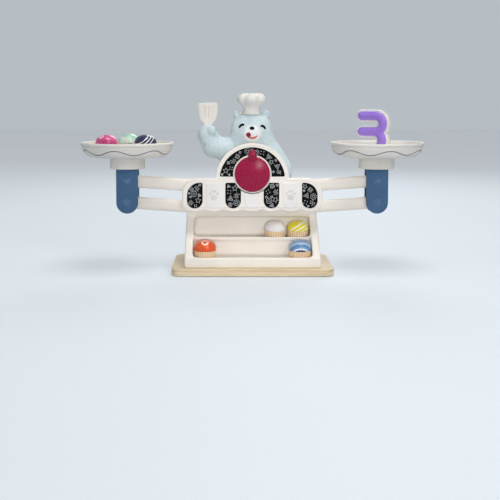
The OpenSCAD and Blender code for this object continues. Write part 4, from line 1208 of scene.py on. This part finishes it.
def hat():
    def ring(r, z):
        puff = min(1.0, max(0.0, (z - PUFF_FROM) / PUFF_RUN))
        lift = puff * max(0.0, (z - LIFT_FROM) / PUFF_RUN) * HAT_LIFT * min(1.0, r / LIFT_R)

        def at(turn):
            lobe = cos(HAT_LOBES * (turn + pi / 2))
            fold = cos(2 * HAT_LOBES * (turn + pi / 2))
            return r * (1 + puff * (HAT_PUFF * lobe - HAT_FOLD * fold)), z + lift * lobe
        return at

    rings = [(0, HAT_LOW), (HAT_BAND_R, HAT_LOW)]
    rings += [ring(r, z) for r, z in spline(HAT_SIDE, 4)] + [(0, HAT_TOP)]
    piece("cook_hat", moved(lathe(rings, 120), (0, BEAR_Y, 0)), "stand", "hat_white", "chef_hat", sharp=70)


hat()


SPATULA_X, SPATULA_HALF, SPATULA_ROUND = -53.5, 2.0, 1.2
BLADE_HALF, BLADE_CORNER, BLADE_CORNER_Z = 12.35, 4.0, 197.0
SPATULA_SIDE = [(4.0, 164.0), (4.1, 171.0), (4.9, 174.2), (6.2, 176.6), (8.8, 179.4), (10.7, 183.0),
                (11.3, 186.8), (11.9, 191.0), (BLADE_HALF, 195.0), (BLADE_HALF, 196.8)]
# The blade's grooves lean apart: X and Z of their lower and upper ends
RIB_LOW, RIB_HIGH, RIB_R, RIB_DEPTH = (3.9, 180.4), (5.3, 196.0), 0.95, 1.2


def spatula():
    right = [tuple(p) for p in spline(SPATULA_SIDE, 5)]
    right += arc((BLADE_HALF - BLADE_CORNER, BLADE_CORNER_Z), BLADE_CORNER, 0, 90, 10)[1:]
    outline = [(x + SPATULA_X, z) for x, z in right + mirrored(right)]
    front, back = BEAR_Y - SPATULA_HALF, BEAR_Y + SPATULA_HALF
    made = mesh_object("spatula_blade", *slab(outline, front, back, SPATULA_ROUND, SPATULA_ROUND, 4))
    for side in (-1, 0, 1):
        rib = arc((SPATULA_X + side * RIB_LOW[0], RIB_LOW[1]), RIB_R, 180, 360, 8)
        rib += arc((SPATULA_X + side * RIB_HIGH[0], RIB_HIGH[1]), RIB_R, 0, 180, 8)
        cut(made, mesh_object("groove", *slab(rib, front - 2, front + RIB_DEPTH, NO_ROUND, 0.4, 3)))
    finished(made, "stand", "spatula_white", "spatula", sharp=40, even=True)


spatula()


# Floor, light and camera

FLOOR_HALF, FLOOR_GLOW = 6000, 0.3
FLOOR_TINTS = (196, 205, 213), (200, 209, 217)
AMBIENT, BACKDROP = (0.22, 0.22, 0.22), linear((183, 190, 195))
DAYLIGHT, SOFT_DAY, COOL = (1.0, 0.98, 0.95), (1.0, 0.99, 0.98), (0.94, 0.97, 1.0)
CAMERA_AT, CAMERA_TILT = (-0.0247159, -0.9615689, 0.1967398), 3.8216
CAMERA_LENS, CAMERA_SHIFT = 57.9715, (0.0372, -0.18)


def stage():
    corners = [(x * FLOOR_HALF, y * FLOOR_HALF, 0) for x, y in ((-1, -1), (1, -1), (1, 1), (-1, 1))]
    floor = mesh_object("floor", corners, [(0, 1, 2, 3)])
    look = Look("floor_pale", FLOOR_TINTS[0], Emission_Color=(0.95, 1.0, 1.05))
    glow = look.math("MULTIPLY", look.rays()["Is Camera Ray"], FLOOR_GLOW)
    look.put(glow, look.shader.inputs["Emission Strength"])
    look.paint(look.ease(look.noise(1.5, 2), 0.3, 0.7), FLOOR_TINTS[1])
    floor.data.materials.append(look.close(0.7, look.noise(200, 2), 0.02))
    world = bpy.data.worlds.new("studio")
    bpy.context.scene.world = world
    world.use_nodes = True
    sky = Nodes(world.node_tree)
    kinds = sky.rays()
    seen = sky.math("ADD", kinds["Is Camera Ray"], kinds["Is Glossy Ray"])
    seen = sky.math("ADD", seen, kinds["Is Transmission Ray"])
    back = sky.tree.nodes["Background"].inputs
    sky.put(sky.mix(seen, AMBIENT, BACKDROP), back["Color"])
    back["Strength"].default_value = 1.0


def lamp(name, place, target, size, watts, colour=(1, 1, 1), glossy=True, cone=None):
    light = bpy.data.lights.new(name, "SPOT" if cone else "AREA")
    light.energy, light.color = watts, colour
    if cone:
        light.shadow_soft_size, light.spot_size, light.spot_blend = size / 2, radians(cone), 1.0
    else:
        light.shape, light.size = "DISK", size
    made = placed(name, light)
    made.visible_glossy = glossy
    made.location = place
    made.rotation_euler = (Vector(target) - Vector(place)).to_track_quat("-Z", "Y").to_euler()


def camera():
    data = bpy.data.cameras.new("camera")
    made = placed("camera", data)
    data.sensor_width, data.lens = 36.0, CAMERA_LENS
    data.shift_x, data.shift_y = CAMERA_SHIFT
    data.clip_start, data.clip_end = 0.05, 60.0
    made.location = CAMERA_AT
    made.rotation_euler = (radians(90 - CAMERA_TILT), 0, 0)
    bpy.context.scene.camera = made


stage()
lamp("key", (0.6, -1.15, 0.75), (0, 0, 0.1), 0.5, 4.0, DAYLIGHT)
lamp("top", (0.15, -0.3, 1.6), (0, 0, 0.1), 0.8, 9.0, DAYLIGHT)
lamp("front", (-0.2, -2.1, 0.6), (0, 0, 0.08), 0.8, 3.0, SOFT_DAY, glossy=False)
lamp("shelves", (0, -2.1, 0.15), (0, 0, 0.065), 0.3, 96.0, (1.0, 0.99, 0.97), glossy=False, cone=9.5)
lamp("side", (-1.2, -0.5, 0.8), (0, 0, 0.1), 1.0, 1.0, COOL)
lamp("rim", (0.2, 1.1, 0.9), (0, 0, 0.12), 0.8, 4.5)
camera()
bpy.context.scene.view_settings.view_transform = "Standard"
